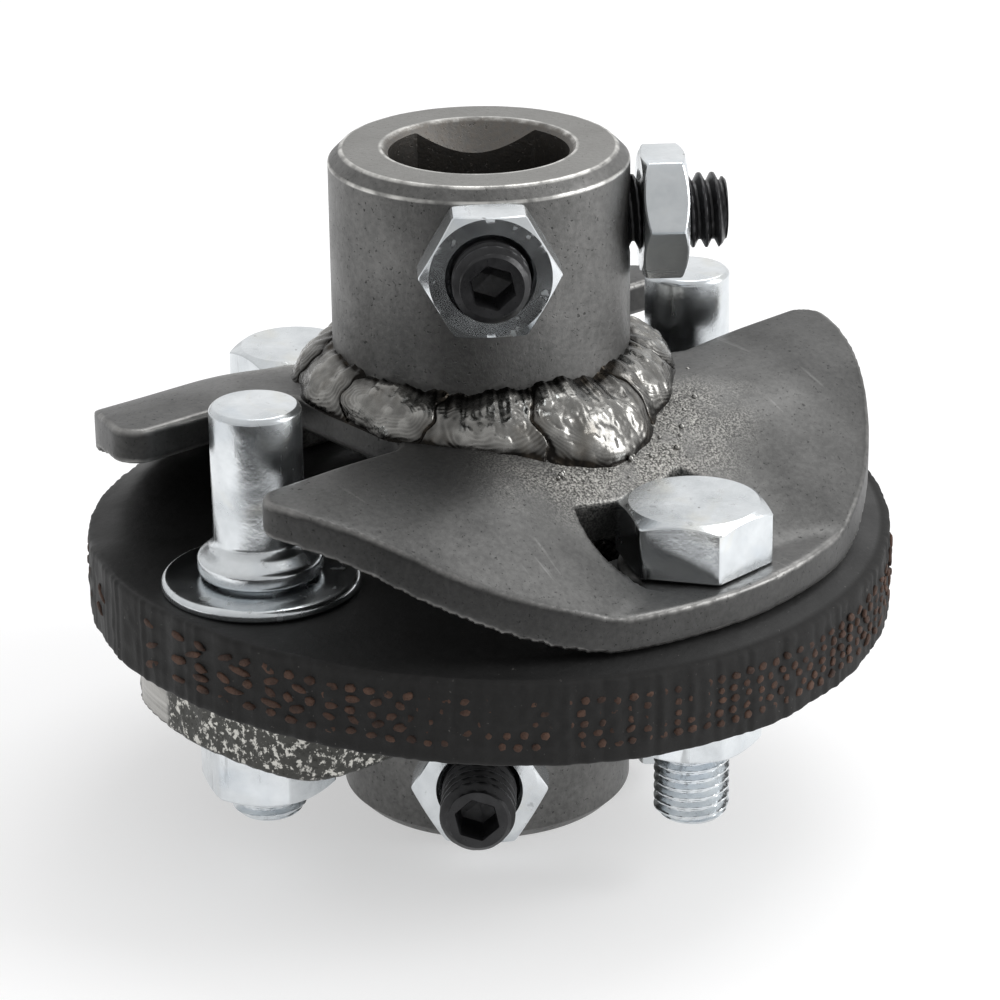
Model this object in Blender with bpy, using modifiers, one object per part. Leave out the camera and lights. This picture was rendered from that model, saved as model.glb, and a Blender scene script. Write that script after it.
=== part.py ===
"""Flexible steering coupler: a rubber and cord disc clamped between two steel halves.

The lower half carries two stop pins and the upper half is bolted to the disc a quarter
turn away, so the disc flexes when the two shafts are out of line. Z is the shaft axis,
the stop pins lie on X and the clamp bolts on Y. Lengths below are in millimetres.
"""

import math

import bmesh
import bpy
from mathutils import Matrix

MM = 0.001

# Hubs
HUB_R = 15.875
HUB_CHAMFER = 1.36
LOWER_HUB_TOP = 23.2
UPPER_HUB_BOTTOM = 43.5
UPPER_HUB_TOP = 73.9
HUB_SEGMENTS = 72
SINK_R = 10.2
BORE_R = 9.525
BORE_FLAT = 7.15
SPLINE_TEETH = 36
SPLINE_ROOT_R = 9.5
SPLINE_TIP_R = 8.9
SCREW_HOLE_R = 4.2

# Flex centre, half way up the disc
FLEX_Z = 28.5

# Coupling disc
DISC_TOP = 33.05
DISC_BOTTOM = 23.85
DISC_R = 43.6
DISC_HOLE_R = 20.0
DISC_EDGE_START = 39.4
DISC_EDGE_DROP = 0.75
DISC_EDGE_WAVE = 1.1
DISC_SEGMENTS = 80
DISC_PIN_HOLE_R = 5.2
DISC_BOLT_HOLE_R = 4.6

# Upper flange, a plate bent down towards its two bolts
PLATE = 3.8
FLANGE_R = 41.5
FLANGE_TOP = 48.2
PAD_TOP = 37.0
BEND_ANGLE = math.radians(31.7)
BEND_START_Y = 17.0
BEND_SPREAD = 3.0
BEND_SPREAD_FROM_X = 8.0
BEND_SPREAD_TO_X = 20.0
BEND_IN_R = 22.0
BEND_OUT_R = 6.5
PLATE_STATIONS = (46, 20, 17, 14, 11, 8)
NOTCH_HALF = 9.85
NOTCH_FLOOR = 18.7
NOTCH_CORNER = 2.6
TIP_R = 2.6
HUB_HOLE_R = 16.15
WINDOW_R = 11.4
WINDOW_Y = 29.5
WINDOW_INNER_R = 24.6
WINDOW_INNER_Y = 24.57
WINDOW_OUTER_Y = 37.03
SEAT_R = 7.8
SEAT_INNER_Y = 25.7
SEAT_NECK_Y = 34.4
SEAT_OUTER_Y = 38.5
SEAT_HALF = 9.6

# Lower flange, a flat bar with round ends
LOWER_FLANGE_TOP = 23.6
LOWER_FLANGE_BOTTOM = 17.3
LOWER_FLANGE_R = 40.0
LOWER_FLANGE_HALF = 16.2
LOWER_FLANGE_WAIST_R = 22.5

# Welds
UPPER_WELD_R = 21.8
UPPER_WELD_TOP = 53.0
UPPER_WELD_HALF_X = 19.5
WELD_GAP = 0.15
WELD_SEGMENTS = 72
LOWER_WELD_R = 18.3

# Stop pins
PIN_X = 30.9
PIN_R = 4.76
PIN_TOP = 53.0
PIN_COLLAR_R = 6.55
PIN_COLLAR_TOP = 37.2
PIN_COLLAR_BOTTOM = 34.75
PIN_SHOULDER = 23.75
PIN_END = 7.2
PIN_WASHER_R = 10.35
PIN_WASHER_HOLE_R = 5.2
PIN_WASHER_TOP = 34.4
PIN_WASHER_BOTTOM = 33.2
PIN_NUT_TOP = 17.15
PIN_NUT_HEIGHT = 6.75

# Clamp bolts
BOLT_Y = 32.3
BOLT_HEAD_TOP = 43.3
BOLT_HEAD_BOTTOM = 37.1
FRONT_HEAD_FLATS = 14.29
BACK_HEAD_FLATS = 12.7
BOLT_END = 8.0
BOLT_HOLE_R = 4.4
BOLT_WASHER_R = 6.9
BOLT_WASHER_TOP = 23.7
BOLT_WASHER_BOTTOM = 22.5
BOLT_NUT_TOP = 22.4
BOLT_NUT_HEIGHT = 5.85

# Threads and nuts, 5/16 inch
THREAD_R = 3.97
FINE_PITCH = 1.058
COARSE_PITCH = 1.411
NUT_FLATS = 12.7
NUT_HOLE_R = 4.25
JAM_NUT_HEIGHT = 4.76
JAM_NUT_START = 16.9
THREAD_SEGMENTS = 24

# Set screws: height, azimuth, inner end, outer end, nut turn
UPPER_SCREW_Z = 66.5
LOWER_SCREW_Z = 9.4
SOCKET_FLATS = 4.0
SOCKET_DEPTH = 4.2
SET_SCREWS = {
    "upper_set_screw_front": (UPPER_SCREW_Z, -128.8, 7.6, 24.7),
    "upper_set_screw_side": (UPPER_SCREW_Z - 0.4, -38.8, 9.9, 26.0),
    "lower_set_screw_front": (LOWER_SCREW_Z, -133.8, 9.9, 28.6),
    "lower_set_screw_side": (LOWER_SCREW_Z, -43.8, 9.9, 26.0),
}
JAM_NUT_TURN = {
    "upper_set_screw_front": 30.0,
    "upper_set_screw_side": 30.0,
    "lower_set_screw_front": 30.0,
    "lower_set_screw_side": 12.0,
}

STEEL = ("bare_steel", (0.30, 0.30, 0.295), 1.0, 0.42)
WELD = ("weld_steel", (0.24, 0.235, 0.23), 1.0, 0.35)
ZINC = ("zinc_plate", (0.72, 0.75, 0.78), 1.0, 0.24)
BLACK = ("black_oxide", (0.018, 0.018, 0.02), 0.6, 0.38)
RUBBER = ("black_rubber", (0.022, 0.022, 0.023), 0.0, 0.62)


def clear_scene():
    for obj in list(bpy.data.objects):
        bpy.data.objects.remove(obj, do_unlink=True)


def make_collection(name):
    collection = bpy.data.collections.new(name)
    bpy.context.scene.collection.children.link(collection)
    return collection


def make_material(spec):
    name, colour, metallic, roughness = spec
    material = bpy.data.materials.get(name) or bpy.data.materials.new(name)
    material.use_nodes = True
    shader = material.node_tree.nodes["Principled BSDF"]
    shader.inputs["Base Color"].default_value = (*colour, 1.0)
    shader.inputs["Metallic"].default_value = metallic
    shader.inputs["Roughness"].default_value = roughness
    return material


def make_empty(name, height):
    empty = bpy.data.objects.new(name, None)
    empty.empty_display_size = 10 * MM
    empty.location = (0, 0, height * MM)
    empty.hide_render = True
    PARTS.objects.link(empty)
    return empty


def make_object(name, bm, collection):
    for vert in bm.verts:
        vert.co *= MM
    mesh = bpy.data.meshes.new(name)
    bm.to_mesh(mesh)
    bm.free()
    obj = bpy.data.objects.new(name, mesh)
    collection.objects.link(obj)
    if collection == CUTTERS:
        obj.hide_render = True
        obj.display_type = "WIRE"
    return obj


def add_path(bm, points, closed):
    verts = [bm.verts.new((r, 0, z)) for r, z in points]
    for first, second in zip(verts, verts[1:]):
        bm.edges.new((first, second))
    if closed:
        bm.edges.new((verts[-1], verts[0]))


def lathe(name, points, collection, segments=HUB_SEGMENTS, closed=False):
    """Turns a profile of (radius, height) points about Z."""
    bm = bmesh.new()
    add_path(bm, points, closed)
    obj = make_object(name, bm, collection)
    screw = obj.modifiers.new("turn", "SCREW")
    screw.angle = math.tau
    screw.steps = segments
    screw.render_steps = segments
    screw.use_merge_vertices = True
    screw.merge_threshold = 0.00001
    return obj


def prism(name, outline, bottom, top, collection):
    """Extrudes a counter-clockwise outline in X and Y from bottom to top."""
    bm = bmesh.new()
    base = bm.faces.new([bm.verts.new((x, y, bottom)) for x, y in outline])
    extruded = bmesh.ops.extrude_face_region(bm, geom=[base])["geom"]
    moved = [item for item in extruded if isinstance(item, bmesh.types.BMVert)]
    bmesh.ops.translate(bm, verts=moved, vec=(0, 0, top - bottom))
    bmesh.ops.recalc_face_normals(bm, faces=bm.faces)
    return make_object(name, bm, collection)


def ring_points(radius, count, start=0.0, centre=(0.0, 0.0)):
    points = []
    for index in range(count):
        angle = start + math.tau * index / count
        x = centre[0] + radius * math.cos(angle)
        y = centre[1] + radius * math.sin(angle)
        points.append((x, y))
    return points


def hexagon(flats, turn=0.0):
    return ring_points(flats / math.sqrt(3), 6, math.radians(turn))


def round_corners(corners, steps=5):
    """Rounds each (x, y, radius) corner of an outline with a tangent arc."""
    outline = []
    for index, (x, y, radius) in enumerate(corners):
        if radius == 0:
            outline.append((x, y))
            continue
        before = corners[index - 1]
        after = corners[(index + 1) % len(corners)]
        towards = math.atan2(before[1] - y, before[0] - x)
        away = math.atan2(after[1] - y, after[0] - x)
        turn = (away - towards + math.pi) % math.tau - math.pi
        middle = towards + turn / 2
        reach = radius / math.sin(abs(turn) / 2)
        centre = (x + reach * math.cos(middle), y + reach * math.sin(middle))
        sweep = math.pi - abs(turn)
        side = 1 if turn > 0 else -1
        for step in range(steps + 1):
            angle = middle + math.pi - side * sweep * (0.5 - step / steps) * -1
            px = centre[0] + radius * math.cos(angle)
            py = centre[1] + radius * math.sin(angle)
            outline.append((px, py))
    return outline


def boolean(obj, cutter, operation="DIFFERENCE"):
    modifier = obj.modifiers.new(cutter.name, "BOOLEAN")
    modifier.object = cutter
    modifier.operation = operation
    modifier.solver = "EXACT"


def cylinder_cutter(name, radius, bottom, top, centre=(0.0, 0.0), count=48):
    return prism(name, ring_points(radius, count, 0.021, centre), bottom, top, CUTTERS)


def radial_matrix(height, azimuth):
    """Turns an object's Z axis to point outward along the azimuth at a height."""
    turn = Matrix.Rotation(math.radians(azimuth), 4, "Z")
    tip = Matrix.Rotation(math.radians(90), 4, "Y")
    return Matrix.Translation((0, 0, height * MM)) @ turn @ tip


def thread_points(radius, pitch, top, bottom):
    """V ridges from top down to bottom, as (radius, height) points."""
    count = int((top - bottom) / pitch)
    depth = pitch * 0.56
    points = []
    for index in range(count):
        crest = top - index * pitch
        points.append((radius, crest))
        points.append((radius - depth, crest - pitch / 2))
    points.append((radius, top - count * pitch))
    return points


def finish(obj, spec, parent):
    obj.data.materials.append(make_material(spec))
    if parent:
        obj.parent = parent
        obj.matrix_parent_inverse = parent.matrix_world.inverted()


def wall_hole(name, hub, height, azimuth):
    cutter = cylinder_cutter(name, SCREW_HOLE_R, 4.0, 22.0, count=26)
    cutter.matrix_world = radial_matrix(height, azimuth)
    boolean(hub, cutter)


def build_upper_hub():
    profile = [
        (0, UPPER_HUB_TOP),
        (HUB_R - HUB_CHAMFER, UPPER_HUB_TOP),
        (HUB_R, UPPER_HUB_TOP - HUB_CHAMFER),
        (HUB_R, UPPER_HUB_BOTTOM + 0.8),
        (HUB_R - 0.8, UPPER_HUB_BOTTOM),
        (0, UPPER_HUB_BOTTOM),
    ]
    hub = lathe("upper_hub", profile, PARTS)
    flat_azimuth = math.radians(SET_SCREWS["upper_set_screw_front"][1])
    outline = []
    for x, y in ring_points(BORE_R, 96):
        x = max(-BORE_FLAT, min(BORE_FLAT, x))
        outline.append((x, y))
    bore = prism("upper_bore", outline, UPPER_HUB_BOTTOM - 2, UPPER_HUB_TOP + 2, CUTTERS)
    bore.rotation_euler = (0, 0, flat_azimuth)
    boolean(hub, bore)
    sink = [(0, UPPER_HUB_TOP + 1), (SINK_R + 1, UPPER_HUB_TOP + 1), (0, UPPER_HUB_TOP - SINK_R)]
    boolean(hub, lathe("upper_countersink", sink, CUTTERS))
    for name in ("upper_set_screw_front", "upper_set_screw_side"):
        height, azimuth, _, _ = SET_SCREWS[name]
        wall_hole(name + "_hole", hub, height, azimuth)
    return hub


def spline_outline():
    outline = []
    for index in range(SPLINE_TEETH * 2):
        angle = math.tau * (index + 0.2) / (SPLINE_TEETH * 2)
        radius = SPLINE_ROOT_R if index % 2 else SPLINE_TIP_R
        outline.append((radius * math.cos(angle), radius * math.sin(angle)))
    return outline


def build_lower_hub():
    profile = [
        (0, LOWER_HUB_TOP),
        (HUB_R - 0.8, LOWER_HUB_TOP),
        (HUB_R, LOWER_HUB_TOP - 0.8),
        (HUB_R, HUB_CHAMFER),
        (HUB_R - HUB_CHAMFER, 0),
        (0, 0),
    ]
    hub = lathe("lower_hub", profile, PARTS)
    boolean(hub, prism("lower_bore", spline_outline(), -2, LOWER_HUB_TOP + 2, CUTTERS))
    sink = [(0, SINK_R), (SINK_R + 1, -1), (0, -1)]
    countersink = lathe("lower_countersink", sink, CUTTERS)
    countersink.rotation_euler = (0, 0, math.radians(0.9))
    boolean(hub, countersink)
    for name in ("lower_set_screw_front", "lower_set_screw_side"):
        height, azimuth, _, _ = SET_SCREWS[name]
        wall_hole(name + "_hole", hub, height, azimuth)
    return hub


def flange_corners():
    """Outline of the upper flange: a disc with a square notch for each stop pin."""
    tip_x = math.sqrt(FLANGE_R**2 - NOTCH_HALF**2)
    tip_angle = math.atan2(NOTCH_HALF, tip_x)
    corners = []
    for side in (1, -1):
        corners.append((side * NOTCH_FLOOR, -side * NOTCH_HALF, NOTCH_CORNER))
        corners.append((side * NOTCH_FLOOR, side * NOTCH_HALF, NOTCH_CORNER))
        corners.append((side * tip_x, side * NOTCH_HALF, TIP_R))
        start = tip_angle + math.radians(6)
        end = math.pi - start
        for step in range(25):
            angle = start + (end - start) * step / 24
            x = side * FLANGE_R * math.cos(angle)
            y = side * FLANGE_R * math.sin(angle)
            corners.append((x, y, 0))
        corners.append((-side * tip_x, side * NOTCH_HALF, TIP_R))
    return corners


def bend_start(x):
    """The plate bends nearer the shaft beside the bolts than out at its wings."""
    share = (abs(x) - BEND_SPREAD_FROM_X) / (BEND_SPREAD_TO_X - BEND_SPREAD_FROM_X)
    share = max(0.0, min(1.0, share))
    return BEND_START_Y + BEND_SPREAD * share * share * (3 - 2 * share)


def bent_mid_line(x):
    """Middle of the bent plate from the shaft outward, as (y, z, slope) stations."""
    tangent_in = BEND_IN_R * math.tan(BEND_ANGLE / 2)
    tangent_out = BEND_OUT_R * math.tan(BEND_ANGLE / 2)
    slope_length = (FLANGE_TOP - PAD_TOP) / math.sin(BEND_ANGLE)
    pieces = [
        (bend_start(x) - tangent_in, 0.0, 1),
        (BEND_IN_R * BEND_ANGLE, BEND_ANGLE, 8),
        (slope_length - tangent_in - tangent_out, 0.0, 1),
        (BEND_OUT_R * BEND_ANGLE, -BEND_ANGLE, 5),
        (14.0, 0.0, 1),
    ]
    y, z, slope = 0.0, FLANGE_TOP - PLATE / 2, 0.0
    stations = [(y, z, slope)]
    for length, turn, steps in pieces:
        for _ in range(steps):
            middle = slope + turn / steps / 2
            y += length / steps * math.cos(middle)
            z -= length / steps * math.sin(middle)
            slope += turn / steps
            stations.append((y, z, slope))
    return stations


def plate_side(x, offset):
    """One surface of the bent plate as (y, z) points, offset from its middle."""
    points = []
    for y, z, slope in bent_mid_line(x):
        points.append((y + offset * math.sin(slope), z + offset * math.cos(slope)))
    return points


def plate_top(x, y):
    """Height of the bent plate's top surface."""
    points = plate_side(x, PLATE / 2)
    for (y0, z0), (y1, z1) in zip(points, points[1:]):
        if abs(y) <= y1:
            return z0 + (z1 - z0) * (abs(y) - y0) / (y1 - y0)
    return PAD_TOP


def plate_section(x):
    """Closed (y, z) section of the bent plate."""
    upper, lower = plate_side(x, PLATE / 2), plate_side(x, -PLATE / 2)
    upper = [(-y, z) for y, z in reversed(upper[1:])] + upper
    lower = [(-y, z) for y, z in reversed(lower[1:])] + lower
    return lower + upper[::-1]


def build_bent_plate():
    bm = bmesh.new()
    rings = []
    for x in [-x for x in PLATE_STATIONS] + list(reversed(PLATE_STATIONS)):
        rings.append([bm.verts.new((x, y, z)) for y, z in plate_section(x)])
    for ring, following in zip(rings, rings[1:]):
        for index in range(len(ring)):
            after = (index + 1) % len(ring)
            bm.faces.new((ring[index], ring[after], following[after], following[index]))
    bm.faces.new(rings[0])
    bm.faces.new(rings[-1])
    bmesh.ops.triangulate(bm, faces=bm.faces)
    bmesh.ops.recalc_face_normals(bm, faces=bm.faces)
    return make_object("upper_flange", bm, PARTS)


def window_outline(side):
    """Opening beside a bolt head: a round cut that stops short of the weld."""
    outline = []
    for x, y in ring_points(WINDOW_R, 60, 0.031, (0.0, WINDOW_Y)):
        y = max(WINDOW_INNER_Y, min(y, WINDOW_OUTER_Y))
        short = WINDOW_INNER_R / math.hypot(x, y)
        if short > 1:
            x, y = x * short, y * short
        outline.append((side * x, side * y))
    return outline


def seat_outline(side):
    """Flat tongue under a bolt head, joined to the plate at its outer end."""
    outline = []
    for step in range(21):
        angle = math.pi * (1 + step / 20)
        x = SEAT_R * math.cos(angle)
        y = BOLT_Y + SEAT_R * math.sin(angle)
        outline.append((x, max(y, SEAT_INNER_Y)))
    outline.append((SEAT_HALF, SEAT_NECK_Y))
    outline.append((SEAT_HALF, SEAT_OUTER_Y))
    outline.append((-SEAT_HALF, SEAT_OUTER_Y))
    outline.append((-SEAT_HALF, SEAT_NECK_Y))
    return [(side * x, side * y) for x, y in outline]


def build_upper_flange():
    flange = build_bent_plate()
    outline = prism("flange_outline", round_corners(flange_corners()), 20, 60, CUTTERS)
    boolean(flange, outline, "INTERSECT")
    boolean(flange, cylinder_cutter("flange_hub_hole", HUB_HOLE_R, 20, 60, count=72))
    for side, label in ((-1, "front"), (1, "back")):
        window = prism("window_" + label, window_outline(side), 20, 60, CUTTERS)
        boolean(flange, window)
        seat_top, seat_bottom = PAD_TOP - 0.05, PAD_TOP - PLATE + 0.05
        seat = prism("seat_" + label, seat_outline(side), seat_bottom, seat_top, CUTTERS)
        boolean(flange, seat, "UNION")
    for side, label in ((-1, "front"), (1, "back")):
        centre = (0.0, side * BOLT_Y)
        hole = cylinder_cutter("bolt_hole_" + label, BOLT_HOLE_R, 20, 60, centre, 32)
        boolean(flange, hole)
    return flange


def lower_flange_outline():
    outline = []
    for index in range(120):
        angle = math.tau * index / 120
        side = LOWER_FLANGE_HALF / max(abs(math.sin(angle)), 0.001)
        reach = (LOWER_FLANGE_R**-14 + side**-14) ** (-1 / 14)
        reach = max(reach, LOWER_FLANGE_WAIST_R)
        outline.append((reach * math.cos(angle), reach * math.sin(angle)))
    return outline


def build_lower_flange():
    top, bottom = LOWER_FLANGE_TOP, LOWER_FLANGE_BOTTOM
    flange = prism("lower_flange", lower_flange_outline(), bottom, top, PARTS)
    boolean(flange, cylinder_cutter("lower_hub_hole", HUB_HOLE_R, 10, 30, count=72))
    groove = [(0, top + 1), (LOWER_WELD_R + 1.3, top + 1), (0, top + 1 - LOWER_WELD_R - 1.3)]
    boolean(flange, lathe("lower_weld_groove", groove, CUTTERS))
    for side, label in ((-1, "left"), (1, "right")):
        centre = (side * PIN_X, 0.0)
        hole = cylinder_cutter("pin_hole_" + label, NUT_HOLE_R, 10, 30, centre, 32)
        boolean(flange, hole)
    return flange


def upper_weld_section(azimuth):
    """Closed (radius, z) section of the upper weld, its foot following the plate."""
    cos, sin = math.cos(azimuth), math.sin(azimuth)
    inner = HUB_R + 0.2
    toe = min(UPPER_WELD_R, UPPER_WELD_HALF_X / max(abs(cos), 0.01))
    reach = (toe - inner) / (UPPER_WELD_R - inner)
    foot = []
    for radius in (toe, (toe + inner) / 2, inner):
        foot.append((radius, plate_top(radius * cos, radius * sin) + WELD_GAP))
    crown = [
        (inner, UPPER_WELD_TOP),
        (inner + 1.3 * reach, UPPER_WELD_TOP - 0.5),
        (inner + 3.2 * reach, UPPER_WELD_TOP - 2.3),
        (toe - 0.9 * reach, foot[0][1] + 1.5),
    ]
    return crown + foot


def build_upper_weld():
    bm = bmesh.new()
    rings = []
    for index in range(WELD_SEGMENTS):
        azimuth = math.tau * index / WELD_SEGMENTS
        ring = []
        for radius, z in upper_weld_section(azimuth):
            ring.append(bm.verts.new((radius * math.cos(azimuth), radius * math.sin(azimuth), z)))
        rings.append(ring)
    for index, ring in enumerate(rings):
        following = rings[(index + 1) % WELD_SEGMENTS]
        for corner in range(len(ring)):
            after = (corner + 1) % len(ring)
            bm.faces.new((ring[corner], ring[after], following[after], following[corner]))
    bmesh.ops.triangulate(bm, faces=bm.faces)
    bmesh.ops.recalc_face_normals(bm, faces=bm.faces)
    return make_object("upper_weld", bm, PARTS)


def build_lower_weld():
    inner = HUB_R + 0.2
    top = LOWER_FLANGE_TOP
    lower = [
        (inner, top + 0.4),
        (inner + 1.0, top + 0.55),
        (LOWER_WELD_R, top - 0.15),
        (inner, top - 0.15 - LOWER_WELD_R + inner),
    ]
    return lathe("lower_weld", lower, PARTS, 48, closed=True)


def disc_drop(x, y):
    """How far the disc's edge rises or falls: up at the pins and down at the bolts."""
    radius = math.hypot(x, y)
    share = max(0.0, min(1.0, (radius - DISC_EDGE_START) / (DISC_R - DISC_EDGE_START)))
    share = share * share * (3 - 2 * share)
    wave = DISC_EDGE_WAVE * math.cos(2 * math.atan2(y, x))
    return share * (wave - DISC_EDGE_DROP)


def build_disc():
    profile = [
        (DISC_HOLE_R, DISC_TOP),
        (DISC_EDGE_START, DISC_TOP),
        (41.4, DISC_TOP),
        (DISC_R - 0.5, DISC_TOP),
        (DISC_R, DISC_TOP - 0.6),
        (DISC_R, DISC_BOTTOM + 0.6),
        (DISC_R - 0.5, DISC_BOTTOM),
        (41.4, DISC_BOTTOM),
        (DISC_EDGE_START, DISC_BOTTOM),
        (DISC_HOLE_R, DISC_BOTTOM),
    ]
    bm = bmesh.new()
    rings = []
    for index in range(DISC_SEGMENTS):
        angle = math.tau * (index + 0.37) / DISC_SEGMENTS
        ring_verts = []
        for radius, height in profile:
            x, y = radius * math.cos(angle), radius * math.sin(angle)
            ring_verts.append(bm.verts.new((x, y, height + disc_drop(x, y))))
        rings.append(ring_verts)
    for index, ring_verts in enumerate(rings):
        after = rings[(index + 1) % DISC_SEGMENTS]
        for low in range(len(profile)):
            high = (low + 1) % len(profile)
            quad = (ring_verts[low], ring_verts[high], after[high], after[low])
            bm.faces.new(quad)
    bmesh.ops.recalc_face_normals(bm, faces=bm.faces)
    disc = make_object("coupling_disc", bm, PARTS)
    for side, label in ((-1, "left"), (1, "right")):
        centre = (side * PIN_X, 0.0)
        hole = cylinder_cutter("disc_pin_hole_" + label, DISC_PIN_HOLE_R, 10, 40, centre, 32)
        boolean(disc, hole)
    for side, label in ((-1, "front"), (1, "back")):
        centre = (0.0, side * BOLT_Y)
        hole = cylinder_cutter("disc_bolt_hole_" + label, DISC_BOLT_HOLE_R, 10, 40, centre, 32)
        boolean(disc, hole)
    return disc


def ring(name, outer, inner, bottom, top, edge, segments=48):
    profile = [
        (inner, top),
        (outer - edge, top),
        (outer, top - edge),
        (outer, bottom),
        (inner, bottom),
    ]
    return lathe(name, profile, PARTS, segments, closed=True)


def build_nut(name, flats, height, top, turn):
    """A hexagon nut whose corners are turned back by a cone at both ends."""
    corner = flats / math.sqrt(3) + 0.05
    face = flats / 2 - 0.15
    chamfer = (corner - face) * math.tan(math.radians(28))
    profile = [
        (NUT_HOLE_R, top),
        (face, top),
        (corner, top - chamfer),
        (corner, top - height + chamfer),
        (face, top - height),
        (NUT_HOLE_R, top - height),
    ]
    nut = lathe(name, profile, PARTS, 36, closed=True)
    outline = hexagon(flats, turn)
    cutter = prism(name + "_hexagon", outline, top - height - 2, top + 2, CUTTERS)
    boolean(nut, cutter, "INTERSECT")
    return nut, cutter


def build_pin(name):
    profile = [
        (0, PIN_TOP),
        (PIN_R - 0.45, PIN_TOP),
        (PIN_R, PIN_TOP - 0.45),
        (PIN_R, PIN_COLLAR_TOP + 0.9),
        (PIN_R + 0.45, PIN_COLLAR_TOP),
        (PIN_COLLAR_R - 0.5, PIN_COLLAR_TOP),
        (PIN_COLLAR_R, PIN_COLLAR_TOP - 0.5),
        (PIN_COLLAR_R, PIN_COLLAR_BOTTOM),
        (PIN_R, PIN_COLLAR_BOTTOM),
        (PIN_R, PIN_SHOULDER),
        (THREAD_R, PIN_SHOULDER),
    ]
    ridges_top = PIN_NUT_TOP - PIN_NUT_HEIGHT + 0.5
    profile += thread_points(THREAD_R, FINE_PITCH, ridges_top, PIN_END + 0.7)
    profile += [(THREAD_R - 0.8, PIN_END), (0, PIN_END)]
    return lathe(name, profile, PARTS, THREAD_SEGMENTS)


def build_bolt(name, flats, turn):
    corner = flats / math.sqrt(3) + 0.05
    face = flats / 2 - 0.35
    chamfer = (corner - face) * math.tan(math.radians(26))
    profile = [
        (0, BOLT_HEAD_TOP),
        (face, BOLT_HEAD_TOP),
        (corner, BOLT_HEAD_TOP - chamfer),
        (corner, BOLT_HEAD_BOTTOM),
        (THREAD_R, BOLT_HEAD_BOTTOM),
    ]
    ridges_top = BOLT_NUT_TOP - BOLT_NUT_HEIGHT + 0.3
    profile += thread_points(THREAD_R, FINE_PITCH, ridges_top, BOLT_END + 0.7)
    profile += [(THREAD_R - 0.8, BOLT_END), (0, BOLT_END)]
    bolt = lathe(name, profile, PARTS, THREAD_SEGMENTS)
    cutter = prism(name + "_hexagon", hexagon(flats, turn), 0, 60, CUTTERS)
    boolean(bolt, cutter, "INTERSECT")
    return bolt, cutter


def build_set_screw(name):
    height, azimuth, inner, outer = SET_SCREWS[name]
    nut_end = JAM_NUT_START + JAM_NUT_HEIGHT
    profile = [(0, outer), (THREAD_R - 0.6, outer)]
    profile += thread_points(THREAD_R, COARSE_PITCH, outer - 0.6, nut_end - 0.6)
    profile += [(THREAD_R, inner + 1.2), (THREAD_R - 1.2, inner), (0, inner)]
    screw = lathe(name, profile, PARTS, THREAD_SEGMENTS)
    socket = prism(
        name + "_socket", hexagon(SOCKET_FLATS), outer - SOCKET_DEPTH, outer + 1, CUTTERS
    )
    boolean(screw, socket)
    for obj in (screw, socket):
        obj.matrix_world = radial_matrix(height, azimuth)
    return screw


def build_jam_nut(screw_name):
    height, azimuth, _, _ = SET_SCREWS[screw_name]
    name = screw_name.replace("set_screw", "jam_nut")
    top = JAM_NUT_START + JAM_NUT_HEIGHT
    nut, cutter = build_nut(name, NUT_FLATS, JAM_NUT_HEIGHT, top, JAM_NUT_TURN[screw_name])
    for obj in (nut, cutter):
        obj.matrix_world = radial_matrix(height, azimuth)
    return nut


def shift(objects, x, y):
    for obj in objects:
        obj.location = (x * MM, y * MM, 0)


def build_pins():
    for side, label in ((-1, "left"), (1, "right")):
        pin = build_pin("stop_pin_" + label)
        washer = ring(
            "pin_washer_" + label,
            PIN_WASHER_R,
            PIN_WASHER_HOLE_R,
            PIN_WASHER_BOTTOM,
            PIN_WASHER_TOP,
            0.3,
        )
        name = "pin_nut_" + label
        nut, cutter = build_nut(name, NUT_FLATS, PIN_NUT_HEIGHT, PIN_NUT_TOP, 8.0)
        shift((pin, washer, nut, cutter), side * PIN_X, 0)
        finish(pin, ZINC, LOWER)
        finish(nut, ZINC, LOWER)
        finish(washer, ZINC, FLEX)


def build_bolts():
    for side, label, flats in ((-1, "front", FRONT_HEAD_FLATS), (1, "back", BACK_HEAD_FLATS)):
        bolt, bolt_cutter = build_bolt("clamp_bolt_" + label, flats, 4.0 if side < 0 else 22.0)
        washer = ring(
            "bolt_washer_" + label,
            BOLT_WASHER_R,
            NUT_HOLE_R,
            BOLT_WASHER_BOTTOM,
            BOLT_WASHER_TOP,
            0.25,
            32,
        )
        name = "bolt_nut_" + label
        nut, nut_cutter = build_nut(name, NUT_FLATS, BOLT_NUT_HEIGHT, BOLT_NUT_TOP, 10.0)
        shift((bolt, bolt_cutter, washer, nut, nut_cutter), 0, side * BOLT_Y)
        for obj in (bolt, washer, nut):
            finish(obj, ZINC, UPPER)


def build_all():
    finish(build_lower_hub(), STEEL, LOWER)
    finish(build_lower_flange(), STEEL, LOWER)
    finish(build_upper_hub(), STEEL, UPPER)
    finish(build_upper_flange(), STEEL, UPPER)
    finish(build_upper_weld(), WELD, UPPER)
    finish(build_lower_weld(), WELD, LOWER)
    finish(build_disc(), RUBBER, FLEX)
    build_pins()
    build_bolts()
    for name in SET_SCREWS:
        parent = UPPER if name.startswith("upper") else LOWER
        finish(build_set_screw(name), BLACK, parent)
        finish(build_jam_nut(name), ZINC, parent)


clear_scene()
PARTS = make_collection("flexible_steering_coupler")
CUTTERS = make_collection("cutters")
LOWER = make_empty("lower_half_frame", 0.0)
FLEX = make_empty("flex_frame", FLEX_Z)
UPPER = make_empty("upper_half_frame", FLEX_Z)
bpy.context.view_layer.update()
build_all()
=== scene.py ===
"""Looks of the flexible steering coupler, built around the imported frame.

Z is the shaft axis, the stop pins lie on X and the clamp bolts on Y. Lengths in the
making functions are millimetres; meshes are written in metres.
"""

import math
import random

import bmesh
import bpy
import numpy as np
from mathutils import Matrix, Vector


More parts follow.
